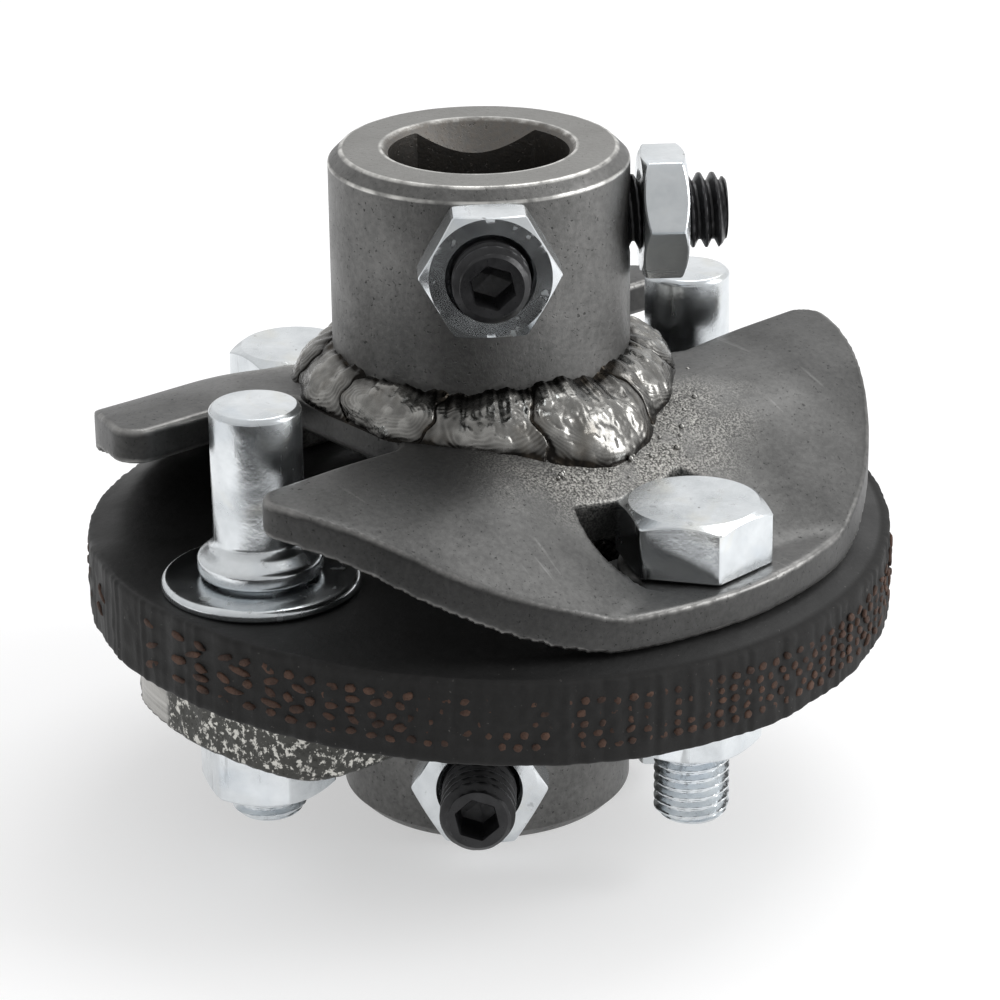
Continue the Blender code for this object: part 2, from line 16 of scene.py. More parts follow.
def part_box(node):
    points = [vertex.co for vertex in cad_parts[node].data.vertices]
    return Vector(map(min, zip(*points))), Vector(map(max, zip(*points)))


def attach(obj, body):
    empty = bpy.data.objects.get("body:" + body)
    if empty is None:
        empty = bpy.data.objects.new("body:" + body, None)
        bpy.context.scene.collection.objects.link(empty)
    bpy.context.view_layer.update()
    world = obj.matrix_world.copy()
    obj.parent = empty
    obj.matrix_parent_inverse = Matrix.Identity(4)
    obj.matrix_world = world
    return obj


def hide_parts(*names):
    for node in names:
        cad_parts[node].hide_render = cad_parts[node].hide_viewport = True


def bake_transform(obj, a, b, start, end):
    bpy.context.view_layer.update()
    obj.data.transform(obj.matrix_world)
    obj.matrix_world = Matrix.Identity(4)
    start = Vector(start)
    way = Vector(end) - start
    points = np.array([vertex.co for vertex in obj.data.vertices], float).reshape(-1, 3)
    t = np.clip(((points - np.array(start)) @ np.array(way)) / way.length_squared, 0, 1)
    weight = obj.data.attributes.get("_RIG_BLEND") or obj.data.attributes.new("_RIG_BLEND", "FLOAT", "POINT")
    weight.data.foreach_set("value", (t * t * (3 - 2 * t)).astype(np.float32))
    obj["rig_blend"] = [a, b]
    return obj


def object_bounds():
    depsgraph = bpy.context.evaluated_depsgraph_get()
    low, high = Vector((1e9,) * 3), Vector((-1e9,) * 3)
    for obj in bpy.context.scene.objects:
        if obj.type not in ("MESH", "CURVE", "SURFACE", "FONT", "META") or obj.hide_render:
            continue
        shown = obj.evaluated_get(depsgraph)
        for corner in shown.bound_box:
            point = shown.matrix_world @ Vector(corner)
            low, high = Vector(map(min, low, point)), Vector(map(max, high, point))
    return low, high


MM = 0.001

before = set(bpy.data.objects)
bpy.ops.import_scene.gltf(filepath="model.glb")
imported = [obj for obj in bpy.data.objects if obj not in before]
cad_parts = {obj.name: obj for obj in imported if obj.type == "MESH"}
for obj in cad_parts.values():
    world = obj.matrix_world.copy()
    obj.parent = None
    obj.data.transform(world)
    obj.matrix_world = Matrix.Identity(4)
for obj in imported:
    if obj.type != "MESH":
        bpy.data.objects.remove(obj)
CAD_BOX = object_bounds()


# ---------------------------------------------------------------- sizes from the frame


def span(node):
    """A node's lowest and highest corners in millimetres."""
    low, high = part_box(node)
    return np.array(low) / MM, np.array(high) / MM


def centre_of(node):
    low, high = span(node)
    return (low + high) / 2


HUB_LOW, HUB_HIGH = span("upper_hub")
HUB_R = (HUB_HIGH[0] - HUB_LOW[0]) / 2
FLANGE_LOW, FLANGE_HIGH = span("upper_flange")
DISC_LOW, DISC_HIGH = span("coupling_disc")
DISC_R = (DISC_HIGH[0] - DISC_LOW[0]) / 2

HUB_CHAMFER = 1.36
BORE_R = 9.525
BORE_FLAT = 7.15
SINK_R = 10.2
PLATE = 3.8
FLANGE_R = 41.5
FLANGE_TOP = FLANGE_HIGH[2]
PAD_TOP = FLANGE_LOW[2] + PLATE
BEND_ANGLE = math.radians(31.7)
BEND_START_Y = 17.0
BEND_SPREAD = 3.0
BEND_IN_R = 22.0
BEND_OUT_R = 6.5
NOTCH_HALF = 9.85
NOTCH_FLOOR = 18.7
WINDOW_CORNERS = ((-10.0, -25.0), (4.7, -24.9), (7.4, -37.0), (-7.2, -37.0))
WINDOW_BOWS = (-1.2, 2.1, 0.0, 2.6)
SEAT_R = 7.8
SEAT_INNER_Y = 25.7
SEAT_NECK_Y = 34.4
SEAT_OUTER_Y = 38.5
SEAT_HALF = 9.6
BOLT_Y = centre_of("clamp_bolt_back")[1]
PIN_X = centre_of("stop_pin_right")[0]
THREAD_R = 3.97
FINE_PITCH = 1.058
COARSE_PITCH = 1.411
THREAD_STEPS = 16
NUT_FLATS = 12.7
NUT_HOLE_R = 4.05
CHAMFER_SLOPE = math.tan(math.radians(27))
SCREWS = {
    "upper_set_screw_front": (66.5, -128.8, 7.6, 24.7, "upper_front", 30.0),
    "upper_set_screw_side": (66.1, -38.8, 9.9, 26.0, "upper_side", 30.0),
    "lower_set_screw_front": (9.4, -133.8, 9.9, 28.6, "lower_front", 30.0),
    "lower_set_screw_side": (9.4, -43.8, 9.9, 26.0, "lower_side", 12.0),
}
JAM_NUT_START = 16.9
JAM_NUT_HEIGHT = 4.76
# The camera's azimuths are counted in its own frame, turned this much from the part's
PHOTO_TURN = -41.8
DISC_TOP = 33.05
DISC_BOTTOM = 23.85
CORD_DIRECTION = -65.0 + PHOTO_TURN
CORD_SPACING = 1.66
CORD_ROWS = 5
CORD_SIDES = 12
DISC_SHIFT = (0.45, -0.40)
# Bottoms and tops of the tools that cut right through the flanges and the disc
UPPER_CUT = (20, 60)
LOWER_CUT = (10, 30)
DISC_CUT = (10, 40)
WELD_MEAN_R = 18
WELD_TOE_R = 19.9
RING_SPACING = 0.42
# Weld pads: camera azimuth, half length, half width, place across, tilt, dome, reach
PADS = (
    (-156.0, 6.4, 4.6, -0.3, 0.9, 0.40, 19.8),
    (-122.7, 5.9, 4.7, 0.0, 0.0, 0.62, 21.0),
    (-86.0, 7.4, 4.4, 0.6, -0.35, 0.45, 21.2),
    (-55.0, 7.0, 4.4, 0.3, 0.25, 0.62, 22.9),
    (-17.0, 6.2, 4.9, -0.5, 1.0, 0.50, 20.8),
    (18.0, 6.4, 4.4, 0.2, 0.2, 0.50, 21.3),
    (54.0, 6.6, 4.6, 0.0, -0.3, 0.55, 21.0),
    (90.0, 6.4, 4.4, 0.3, 0.3, 0.50, 21.4),
    (126.0, 6.2, 4.6, 0.0, 0.0, 0.55, 20.9),
    (161.0, 6.6, 4.4, 0.2, 0.3, 0.50, 20.6),
)


# ---------------------------------------------------------------- noise and mesh helpers


def lattice(ix, iy, iz, seed):
    value = np.sin(ix * 127.1 + iy * 311.7 + iz * 74.7 + seed * 53.3) * 43758.5453
    return value - np.floor(value)


def value_noise(points, cell, seed=0):
    """Smooth noise from 0 to 1 at points of shape (..., 3); cell is its grain."""
    p = points / cell
    base = np.floor(p)
    f = p - base
    f = f * f * (3 - 2 * f)
    total = np.zeros(points.shape[:-1])
    for dx in (0, 1):
        for dy in (0, 1):
            for dz in (0, 1):
                corner = lattice(base[..., 0] + dx, base[..., 1] + dy, base[..., 2] + dz, seed)
                wx = f[..., 0] if dx else 1 - f[..., 0]
                wy = f[..., 1] if dy else 1 - f[..., 1]
                wz = f[..., 2] if dz else 1 - f[..., 2]
                total += corner * wx * wy * wz
    return total


def smoothstep(low, high, value):
    t = np.clip((value - low) / (high - low), 0, 1)
    return t * t * (3 - 2 * t)


def link(mesh, name):
    obj = bpy.data.objects.new(name, mesh)
    bpy.context.scene.collection.objects.link(obj)
    return obj


def face_outward(mesh):
    bm = bmesh.new()
    bm.from_mesh(mesh)
    bmesh.ops.recalc_face_normals(bm, faces=bm.faces)
    bm.to_mesh(mesh)
    bm.free()


def shade(mesh, angle=32.0):
    mesh.shade_smooth()
    mesh.set_sharp_from_angle(angle=math.radians(angle))


def add_attribute(mesh, name, values):
    attribute = mesh.attributes.new(name, "FLOAT", "POINT")
    attribute.data.foreach_set("value", np.asarray(values, np.float32).ravel())


def polar_mesh(name, radii, heights, closed=False, angle=32.0, attributes=None):
    """A turned solid from arrays (rows, columns) of radius and height.

    A closed one is a ring; an open one is capped at its first and last rows.
    """
    rows, columns = radii.shape
    turn = np.arange(columns) * math.tau / columns
    x, y = radii * np.cos(turn), radii * np.sin(turn)
    verts = np.stack([x, y, heights], -1).reshape(-1, 3) * MM
    faces = []
    for i in range(rows if closed else rows - 1):
        a, b = i * columns, ((i + 1) % rows) * columns
        for c in range(columns):
            d = (c + 1) % columns
            faces.append((a + c, b + c, b + d, a + d))
    if not closed:
        faces.append(tuple(range(columns)))
        faces.append(tuple((rows - 1) * columns + c for c in range(columns)))
    mesh = bpy.data.meshes.new(name)
    mesh.from_pydata(verts.tolist(), [], faces)
    for key, values in (attributes or {}).items():
        add_attribute(mesh, key, values)
    face_outward(mesh)
    shade(mesh, angle)
    return link(mesh, name)


def soften(corners, steps=4):
    """An open profile of (radius, height, fillet) corners with its corners rounded."""
    points = []
    for index, (r, z, fillet) in enumerate(corners):
        if fillet == 0 or index in (0, len(corners) - 1):
            points.append((r, z))
            continue
        here = Vector((r, z))
        before = (Vector(corners[index - 1][:2]) - here).normalized()
        after = (Vector(corners[index + 1][:2]) - here).normalized()
        for step in range(steps + 1):
            t = step / steps
            point = here + before * fillet * (1 - t) ** 2 + after * fillet * t**2
            points.append((point.x, point.y))
    return points


def stations(points, longest):
    """Splits the long stretches of a profile so that no row is longer than asked."""
    out = [points[0]]
    for (r0, z0), (r1, z1) in zip(points, points[1:]):
        count = max(1, math.ceil(math.hypot(r1 - r0, z1 - z0) / longest))
        for step in range(1, count + 1):
            out.append((r0 + (r1 - r0) * step / count, z0 + (z1 - z0) * step / count))
    return out


def turned(name, corners, columns=120, closed=False, longest=50.0, angle=32.0):
    points = stations(soften(corners), longest)
    if closed:
        points = points[:-1] if points[0] == points[-1] else points
    radii = np.array([[r] * columns for r, _ in points])
    heights = np.array([[z] * columns for _, z in points])
    return polar_mesh(name, radii, heights, closed, angle)


def hex_radius(flats, turn, columns, softness=70):
    """Radius of a hexagon at each column, with very slightly rounded corners."""
    theta = np.arange(columns) * math.tau / columns
    total = np.zeros(columns)
    for side in range(6):
        normal = math.radians(turn + 30 + 60 * side)
        total += np.clip(np.cos(theta - normal), 0, None) ** softness
    return flats / 2 * total ** (-1 / softness)


def thread_radius(z, columns, radius, pitch):
    """Right-hand V thread with flat crests at heights z, shape (rows, columns)."""
    theta = np.arange(columns) / columns
    phase = (z[:, None] / pitch - theta[None, :]) % 1.0
    ramp = np.abs(phase - 0.5) * 2
    depth = 0.6 * pitch
    return radius - depth * (1 - np.clip((ramp - 0.2) / 0.62, 0, 1))


def apply_modifiers(obj):
    depsgraph = bpy.context.evaluated_depsgraph_get()
    mesh = bpy.data.meshes.new_from_object(obj.evaluated_get(depsgraph))
    obj.modifiers.clear()
    obj.data = mesh


def boolean(obj, cutters, operation="DIFFERENCE"):
    for cutter in cutters:
        modifier = obj.modifiers.new(cutter.name, "BOOLEAN")
        modifier.object = cutter
        modifier.operation = operation
        modifier.solver = "EXACT"
    apply_modifiers(obj)
    for cutter in cutters:
        bpy.data.objects.remove(cutter, do_unlink=True)


def prism(name, outline, bottom, top):
    """Extrudes an outline of (x, y) points in millimetres."""
    bm = bmesh.new()
    base = bm.faces.new([bm.verts.new((x * MM, y * MM, bottom * MM)) for x, y in outline])
    extruded = bmesh.ops.extrude_face_region(bm, geom=[base])["geom"]
    moved = [item for item in extruded if isinstance(item, bmesh.types.BMVert)]
    bmesh.ops.translate(bm, verts=moved, vec=(0, 0, (top - bottom) * MM))
    bmesh.ops.recalc_face_normals(bm, faces=bm.faces)
    mesh = bpy.data.meshes.new(name)
    bm.to_mesh(mesh)
    bm.free()
    return link(mesh, name)


def ring_points(radius, count, start=0.0, centre=(0.0, 0.0)):
    points = []
    for index in range(count):
        angle = start + math.tau * index / count
        x = centre[0] + radius * math.cos(angle)
        y = centre[1] + radius * math.sin(angle)
        points.append((x, y))
    return points


def cylinder(name, radius, bottom, top, centre=(0.0, 0.0), count=96):
    return prism(name, ring_points(radius, count, 0.021, centre), bottom, top)


def round_corners(corners, steps=7):
    """Rounds each (x, y, radius) corner of a closed outline with a tangent arc."""
    outline = []
    for index, (x, y, radius) in enumerate(corners):
        if radius == 0:
            outline.append((x, y))
            continue
        before = corners[index - 1]
        after = corners[(index + 1) % len(corners)]
        towards = math.atan2(before[1] - y, before[0] - x)
        away = math.atan2(after[1] - y, after[0] - x)
        turn = (away - towards + math.pi) % math.tau - math.pi
        middle = towards + turn / 2
        reach = radius / math.sin(abs(turn) / 2)
        centre = (x + reach * math.cos(middle), y + reach * math.sin(middle))
        sweep = math.pi - abs(turn)
        side = 1 if turn > 0 else -1
        for step in range(steps + 1):
            angle = middle + math.pi + side * sweep * (0.5 - step / steps)
            px = centre[0] + radius * math.cos(angle)
            py = centre[1] + radius * math.sin(angle)
            outline.append((px, py))
    return outline


def radial_matrix(height, azimuth):
    """Stands a piece's Z axis outward along an azimuth at a height."""
    turn = Matrix.Rotation(math.radians(azimuth), 4, "Z")
    tip = Matrix.Rotation(math.radians(90), 4, "Y")
    return Matrix.Translation((0, 0, height * MM)) @ turn @ tip


def vertex_array(mesh):
    co = np.empty(len(mesh.vertices) * 3, np.float32)
    mesh.vertices.foreach_get("co", co)
    return co.reshape(-1, 3).astype(float)


def write_vertices(mesh, co):
    mesh.vertices.foreach_set("co", co.astype(np.float32).ravel())
    mesh.update()


def mark_edges(mesh):
    """Stores how convex each point is, for wear on the edges."""
    co = vertex_array(mesh)
    normals = np.empty(len(co) * 3, np.float32)
    mesh.vertices.foreach_get("normal", normals)
    normals = normals.reshape(-1, 3)
    edges = np.empty(len(mesh.edges) * 2, np.int32)
    mesh.edges.foreach_get("vertices", edges)
    a, b = edges.reshape(-1, 2).T
    count = np.bincount(a, minlength=len(co)) + np.bincount(b, minlength=len(co))
    count = np.maximum(count, 1)

    def around(values):
        total = np.zeros_like(values)
        np.add.at(total, a, values[b])
        np.add.at(total, b, values[a])
        return total / (count[:, None] if values.ndim > 1 else count)

    convex = ((co - around(co)) * normals).sum(1) / MM
    for _ in range(2):
        convex = (convex + around(convex)) / 2
    add_attribute(mesh, "edge", convex)


# ---------------------------------------------------------------- materials


def connect(tree, socket, value):
    """Links another node's output into a socket, or sets a plain value there."""
    if isinstance(value, bpy.types.NodeSocket):
        tree.links.new(value, socket)
    else:
        socket.default_value = value


class Nodes:
    """Short ways to add shader nodes to one tree; each returns the node's output."""

    def __init__(self, tree, coords="Object"):
        self.tree = tree
        self.coords = tree.nodes.new("ShaderNodeTexCoord").outputs[coords]

    def node(self, kind, props=None, **inputs):
        """Adds a node; an input named i0, i1 and so on is meant by its number."""
        made = self.tree.nodes.new(kind)
        for key, value in (props or {}).items():
            setattr(made, key, value)
        for key, value in inputs.items():
            numbered = key[0] == "i" and key[1:].isdigit()
            connect(self.tree, made.inputs[int(key[1:]) if numbered else key], value)
        return made

    def math(self, operation, first, second=0.0):
        return self.node("ShaderNodeMath", {"operation": operation}, i0=first, i1=second).outputs[0]

    def times(self, first, second):
        return self.math("MULTIPLY", first, second)

    def plus(self, first, second):
        return self.math("ADD", first, second)

    def remap(self, value, low, high, out_low=0.0, out_high=1.0, smooth=False):
        props = {"interpolation_type": "SMOOTHSTEP" if smooth else "LINEAR"}
        made = self.node("ShaderNodeMapRange", props)
        for socket, end in enumerate((value, low, high, out_low, out_high)):
            connect(self.tree, made.inputs[socket], end)
        return made.outputs["Result"]

    def mix(self, factor, first, second):
        """Mixes two colours."""
        made = self.node("ShaderNodeMix", {"data_type": "RGBA"}, i0=factor)
        for socket, value in ((6, first), (7, second)):
            colour = (*value, 1.0) if isinstance(value, tuple) else value
            connect(self.tree, made.inputs[socket], colour)
        return made.outputs[2]

    def mix_value(self, factor, first, second):
        made = self.node("ShaderNodeMix", {"data_type": "FLOAT"}, i0=factor, i2=first, i3=second)
        return made.outputs[0]

    def noise(self, scale, detail=3.0, rough=0.5, distortion=0.0, coords=None):
        inputs = {"Scale": scale, "Detail": detail, "Roughness": rough, "Distortion": distortion}
        made = self.node("ShaderNodeTexNoise", None, Vector=coords or self.coords, **inputs)
        return made.outputs["Fac"]

    def stretched(self, scale, rotation=(0, 0, 0)):
        inputs = {"Vector": self.coords, "Scale": scale, "Rotation": rotation}
        return self.node("ShaderNodeMapping", None, **inputs).outputs[0]

    def attribute(self, name):
        return self.node("ShaderNodeAttribute", {"attribute_name": name}).outputs["Fac"]

    def bump(self, height, strength, distance, below=None):
        inputs = {"Height": height, "Strength": strength, "Distance": distance}
        made = self.node("ShaderNodeBump", None, **inputs)
        if below is not None:
            connect(self.tree, made.inputs["Normal"], below)
        return made.outputs[0]

    def split(self, vector):
        return self.node("ShaderNodeSeparateXYZ", None, Vector=vector).outputs

    def polar(self):
        """The radius from the shaft axis, and the x, y and z, all in metres."""
        parts = self.split(self.coords)
        squares = self.plus(self.times(parts[0], parts[0]), self.times(parts[1], parts[1]))
        return self.math("SQRT", squares), parts

    def band(self, value, centre, half, soft):
        """1 near a centre value, falling to 0 beyond half a width."""
        away = self.math("ABSOLUTE", self.math("SUBTRACT", value, centre))
        return self.remap(away, half + soft, half, 0.0, 1.0, True)


class Look(Nodes):
    """A new material and its Principled shader."""

    def __init__(self, name):
        self.material = bpy.data.materials.new(name)
        self.material.use_nodes = True
        super().__init__(self.material.node_tree)
        self.shader = self.tree.nodes["Principled BSDF"]

    def finish(self, colour, roughness, normal, metallic=1.0, specular=0.5):
        """Feeds the shader; a plain roughness is set on its own socket."""
        connect(self.tree, self.shader.inputs["Base Color"], colour)
        connect(self.tree, self.shader.inputs["Roughness"], roughness)
        if normal is not None:
            connect(self.tree, self.shader.inputs["Normal"], normal)
        self.shader.inputs["Metallic"].default_value = metallic
        self.shader.inputs["Specular IOR Level"].default_value = specular
        return self.material


def steel_base(look, dark, light, grain=1.0):
    """Blasted bare steel: cloudy tone, fine grain and dark pits."""
    clouds = look.noise(95.0, 4.0, 0.6)
    grains = look.noise(1500.0 / grain, 3.0, 0.65)
    pits = look.noise(2300.0 / grain, 2.0, 0.6)
    cloudy = look.remap(clouds, 0.3, 0.7, 0.0, 0.55)
    tone = look.plus(cloudy, look.remap(grains, 0.3, 0.7, 0.0, 0.45))
    colour = look.mix(tone, dark, light)
    pit = look.remap(pits, 0.36, 0.28, 0.0, 1.0)
    colour = look.mix(look.times(pit, 0.62), colour, (0.03, 0.03, 0.03))
    roughness = look.remap(clouds, 0.3, 0.7, 0.50, 0.38)
    roughness = look.plus(roughness, look.times(pit, 0.2))
    height = look.math("SUBTRACT", grains, look.times(pit, 0.5))
    return colour, roughness, height, grains


def hub_material():
    look = Look("hub_steel")
    dark, light = (0.095, 0.095, 0.093), (0.205, 0.203, 0.198)
    colour, roughness, height, grains = steel_base(look, dark, light)
    radius, parts = look.polar()
    top = HUB_HIGH[2] * MM
    # Painted highlight: the hub's top face is mixed halfway towards a lighter grey, as if lit from above.
    ring = look.remap(parts[2], top - 0.00012, top - 0.00004)
    colour = look.mix(look.times(ring, 0.5), colour, (0.30, 0.295, 0.28))
    # Bright lines at the chamfer edges and the countersink rim: partly worn bare steel, partly a painted
    # highlight along those edges.
    corner = look.band(parts[2], top - HUB_CHAMFER * MM, 0.00010, 0.00022)
    outer = look.remap(radius, (HUB_R - 0.2) * MM, (HUB_R - 0.05) * MM)
    corner = look.times(corner, outer)
    rim = look.band(radius, (HUB_R - HUB_CHAMFER) * MM, 0.00010, 0.00022)
    rim = look.times(rim, look.remap(parts[2], top - 0.0005, top - 0.0003))
    inner = look.band(radius, SINK_R * MM, 0.00012, 0.0003)
    inner = look.times(inner, look.remap(parts[2], top - 0.0006, top - 0.0004))
    edges = look.math("MAXIMUM", look.math("MAXIMUM", corner, rim), inner)
    breaks = look.remap(look.noise(420.0, 3.0), 0.38, 0.62, 0.15, 0.9)
    edges = look.times(edges, breaks)
    colour = look.mix(edges, colour, (0.78, 0.77, 0.74))
    sink = look.remap(radius, (SINK_R + 0.05) * MM, (SINK_R - 0.15) * MM)
    rusty = look.times(sink, look.remap(grains, 0.35, 0.6, 0.25, 0.7))
    colour = look.mix(rusty, colour, (0.13, 0.115, 0.10))
    roughness = look.mix_value(edges, roughness, 0.28)
    normal = look.bump(height, 0.55, 0.00009)
    return look.finish(colour, roughness, normal)


def flange_material():
    look = Look("flange_steel")
    dark, light = (0.075, 0.075, 0.074), (0.155, 0.154, 0.151)
    colour, roughness, height, _ = steel_base(look, dark, light, 0.9)
    wear = look.attribute("edge")
    breaks = look.remap(look.noise(260.0, 4.0), 0.35, 0.65, 0.35, 1.0)
    worn = look.times(look.remap(wear, 0.018, 0.075), breaks)
    radius, parts = look.polar()
    facing = look.math("DIVIDE", look.math("ABSOLUTE", parts[1]), radius)
    heat = look.remap(radius, 0.0325, 0.0235, 0.0, 1.0, True)
    heat = look.times(heat, look.remap(facing, 0.62, 0.92, 0.0, 1.0, True))
    crystals = look.noise(4200.0, 2.0, 0.8)
    patch = look.remap(look.noise(210.0, 3.0), 0.36, 0.56, 0.25, 1.0)
    heat = look.times(heat, patch)
    sparkle = look.remap(crystals, 0.42, 0.62)
    speckled = look.mix(sparkle, (0.035, 0.034, 0.032), (0.50, 0.49, 0.46))
    colour = look.mix(look.times(heat, 0.8), colour, speckled)
    streaks = look.noise(1.0, 2.0, coords=look.stretched((900.0, 90.0, 90.0), (0, 0, 0.6)))
    scratch = look.remap(streaks, 0.70, 0.78)
    colour = look.mix(look.times(scratch, 0.2), colour, (0.4, 0.4, 0.39))
    # Painted shade: the plate turns darker out towards its wings, most on the +x side.
    away = look.remap(parts[0], 0.010, 0.030, 0.0, 0.38, True)
    away = look.plus(away, look.remap(parts[0], -0.022, -0.034, 0.0, 0.10, True))
    colour = look.mix(away, colour, (0.02, 0.02, 0.02))
    # Painted shade: steep faces, such as the plate's edge walls, are darkened the less their normal points
    # up.
    upward = look.split(look.node("ShaderNodeTexCoord").outputs["Normal"])[2]
    wall = look.remap(look.math("ABSOLUTE", upward), 0.6, 0.2, 0.0, 0.42, True)
    colour = look.mix(wall, colour, (0.02, 0.02, 0.02))
    colour = look.mix(worn, colour, (0.62, 0.61, 0.59))
    roughness = look.mix_value(worn, roughness, 0.30)
    height = look.plus(height, look.times(heat, sparkle))
    normal = look.bump(height, 0.5, 0.00005)
    return look.finish(colour, roughness, normal)


def cut_edge_material():
    """Lower flange: rough sawn edge with bright grains and one smooth ground patch."""
    look = Look("lower_flange_steel")
    dark, light = (0.085, 0.085, 0.083), (0.18, 0.178, 0.173)
    colour, roughness, height, _ = steel_base(look, dark, light)
    ground = look.attribute("ground")
    cut = look.attribute("cut")
    specks = look.noise(1150.0, 3.0, 0.7)
    bright = look.remap(specks, 0.53, 0.60)
    granular = look.mix(bright, (0.075, 0.075, 0.070), (0.62, 0.61, 0.57))
    colour = look.mix(cut, colour, granular)
    lines = look.noise(1.0, coords=look.stretched((60.0, 60.0, 2600.0)))
    brushed = look.mix(look.remap(lines, 0.3, 0.7), (0.26, 0.255, 0.24), (0.46, 0.45, 0.43))
    colour = look.mix(ground, colour, brushed)
    roughness = look.mix_value(ground, roughness, 0.34)
    height = look.plus(height, look.times(specks, cut))
    normal = look.bump(height, 0.7, 0.00012)
    return look.finish(colour, roughness, normal)


def weld_material():
    look = Look("weld_metal")
    ripple = look.attribute("ripple")
    clouds = look.noise(260.0, 4.0, 0.6)
    fine = look.noise(2600.0, 3.0, 0.6)
    # The 'ripple' attribute holds the bead's tone with painted shade and highlight in it: darker in creases
    # and at the bead's edges, lighter on pad tops and ripple crests.
    tone = look.remap(ripple, 0.15, 0.85)
    colour = look.mix(tone, (0.012, 0.011, 0.010), (0.33, 0.325, 0.31))
    warm = look.remap(clouds, 0.52, 0.72, 0.0, 0.3)
    colour = look.mix(warm, colour, (0.13, 0.105, 0.075))
    roughness = look.remap(fine, 0.3, 0.7, 0.16, 0.36)
    normal = look.bump(fine, 0.35, 0.00005)
    normal = look.bump(clouds, 0.5, 0.0002, normal)
    return look.finish(colour, roughness, normal)


def zinc_material():
    look = Look("zinc")
    clouds = look.noise(160.0, 4.0, 0.6)
    tint = look.noise(75.0, 3.0, 0.55, 1.2)
    fine = look.noise(2200.0, 3.0, 0.6)
    colour = look.mix(look.remap(clouds, 0.3, 0.7), (0.58, 0.61, 0.63), (0.80, 0.83, 0.85))
    yellow = look.remap(tint, 0.56, 0.74, 0.0, 0.35)
    colour = look.mix(yellow, colour, (0.74, 0.68, 0.50))
    blue = look.remap(tint, 0.42, 0.26, 0.0, 0.35)
    colour = look.mix(blue, colour, (0.52, 0.60, 0.70))
    lines = look.noise(1.0, coords=look.stretched((700.0, 700.0, 120.0), (0.4, 0.2, 0.0)))
    scuff = look.remap(lines, 0.64, 0.72)
    spots = look.remap(look.noise(900.0, 2.0, 0.6), 0.72, 0.80, 0.0, 0.7)
    colour = look.mix(look.times(scuff, 0.35), colour, (0.30, 0.31, 0.31))
    colour = look.mix(spots, colour, (0.12, 0.115, 0.11))
    roughness = look.remap(clouds, 0.3, 0.7, 0.30, 0.16)
    roughness = look.plus(roughness, look.times(scuff, 0.2))
    normal = look.bump(clouds, 0.25, 0.00025)
    normal = look.bump(look.plus(fine, scuff), 0.18, 0.00005, normal)
    return look.finish(colour, roughness, normal)


def black_material():
    look = Look("black_oxide")
    clouds = look.noise(500.0, 4.0, 0.6)
    fine = look.noise(3000.0, 3.0, 0.6)
    colour = look.mix(look.remap(clouds, 0.3, 0.7), (0.008, 0.008, 0.009), (0.028, 0.028, 0.03))
    roughness = look.remap(fine, 0.3, 0.7, 0.26, 0.42)
    normal = look.bump(fine, 0.3, 0.00005)
    return look.finish(colour, roughness, normal, 0.35, 0.55)


def rubber_material():
    look = Look("disc_rubber")
    radius, _ = look.polar()
    clouds = look.noise(110.0, 4.0, 0.6)
    fine = look.noise(1800.0, 4.0, 0.65)
    turning = look.node("ShaderNodeCombineXYZ", None, X=radius, Y=clouds).outputs[0]
    polished = look.noise(2400.0, 2.0, coords=turning)
    colour = look.mix(look.remap(fine, 0.25, 0.75), (0.003, 0.0031, 0.0031), (0.009, 0.009, 0.009))
    rim = look.remap(radius, (DISC_R - 0.9) * MM, (DISC_R - 0.4) * MM)
    colour = look.mix(rim, colour, look.mix(fine, (0.0035, 0.0033, 0.0033), (0.011, 0.0105, 0.010)))
    dust = look.remap(look.noise(2000.0, 2.0, 0.7), 0.70, 0.76, 0.0, 0.35)
    colour = look.mix(dust, colour, (0.20, 0.19, 0.18))
    roughness = look.remap(clouds, 0.3, 0.7, 0.46, 0.66)
    roughness = look.mix_value(rim, roughness, 0.82)
    normal = look.bump(fine, 0.45, 0.00010)
    normal = look.bump(polished, 0.12, 0.00008, normal)
    return look.finish(colour, roughness, normal, 0.0, 0.45)


def cord_material():
    look = Look("cord_ends")
    pick = look.noise(420.0, 3.0, 0.6)
    fine = look.noise(3600.0, 3.0, 0.7)
    colour = look.mix(look.remap(pick, 0.35, 0.65), (0.026, 0.015, 0.011), (0.085, 0.046, 0.031))
    colour = look.mix(look.remap(fine, 0.52, 0.66, 0.0, 0.6), colour, (0.035, 0.016, 0.012))
    normal = look.bump(fine, 0.8, 0.00012)
    return look.finish(colour, look.remap(fine, 0.3, 0.7, 0.7, 0.9), normal, 0.0, 0.3)


def floor_material():
    look = Look("floor_paper")
    tone = look.noise(6.0, 3.0)
    colour = look.mix(look.remap(tone, 0.3, 0.7), (0.56, 0.56, 0.565), (0.60, 0.60, 0.602))
    look.shader.inputs["Emission Color"].default_value = (1.0, 1.0, 1.0, 1.0)
    look.shader.inputs["Emission Strength"].default_value = 0.46
    return look.finish(colour, 1.0, None, 0.0, 0.0)


# ---------------------------------------------------------------- turned pieces


def hole_cutters(names):
    cutters = []
    for name in names:
        height, azimuth = SCREWS[name][:2]
        cutter = cylinder(name + "_hole", 4.25, 4.0, 22.0, count=72)
        cutter.matrix_world = radial_matrix(height, azimuth)
        cutters.append(cutter)
    return cutters


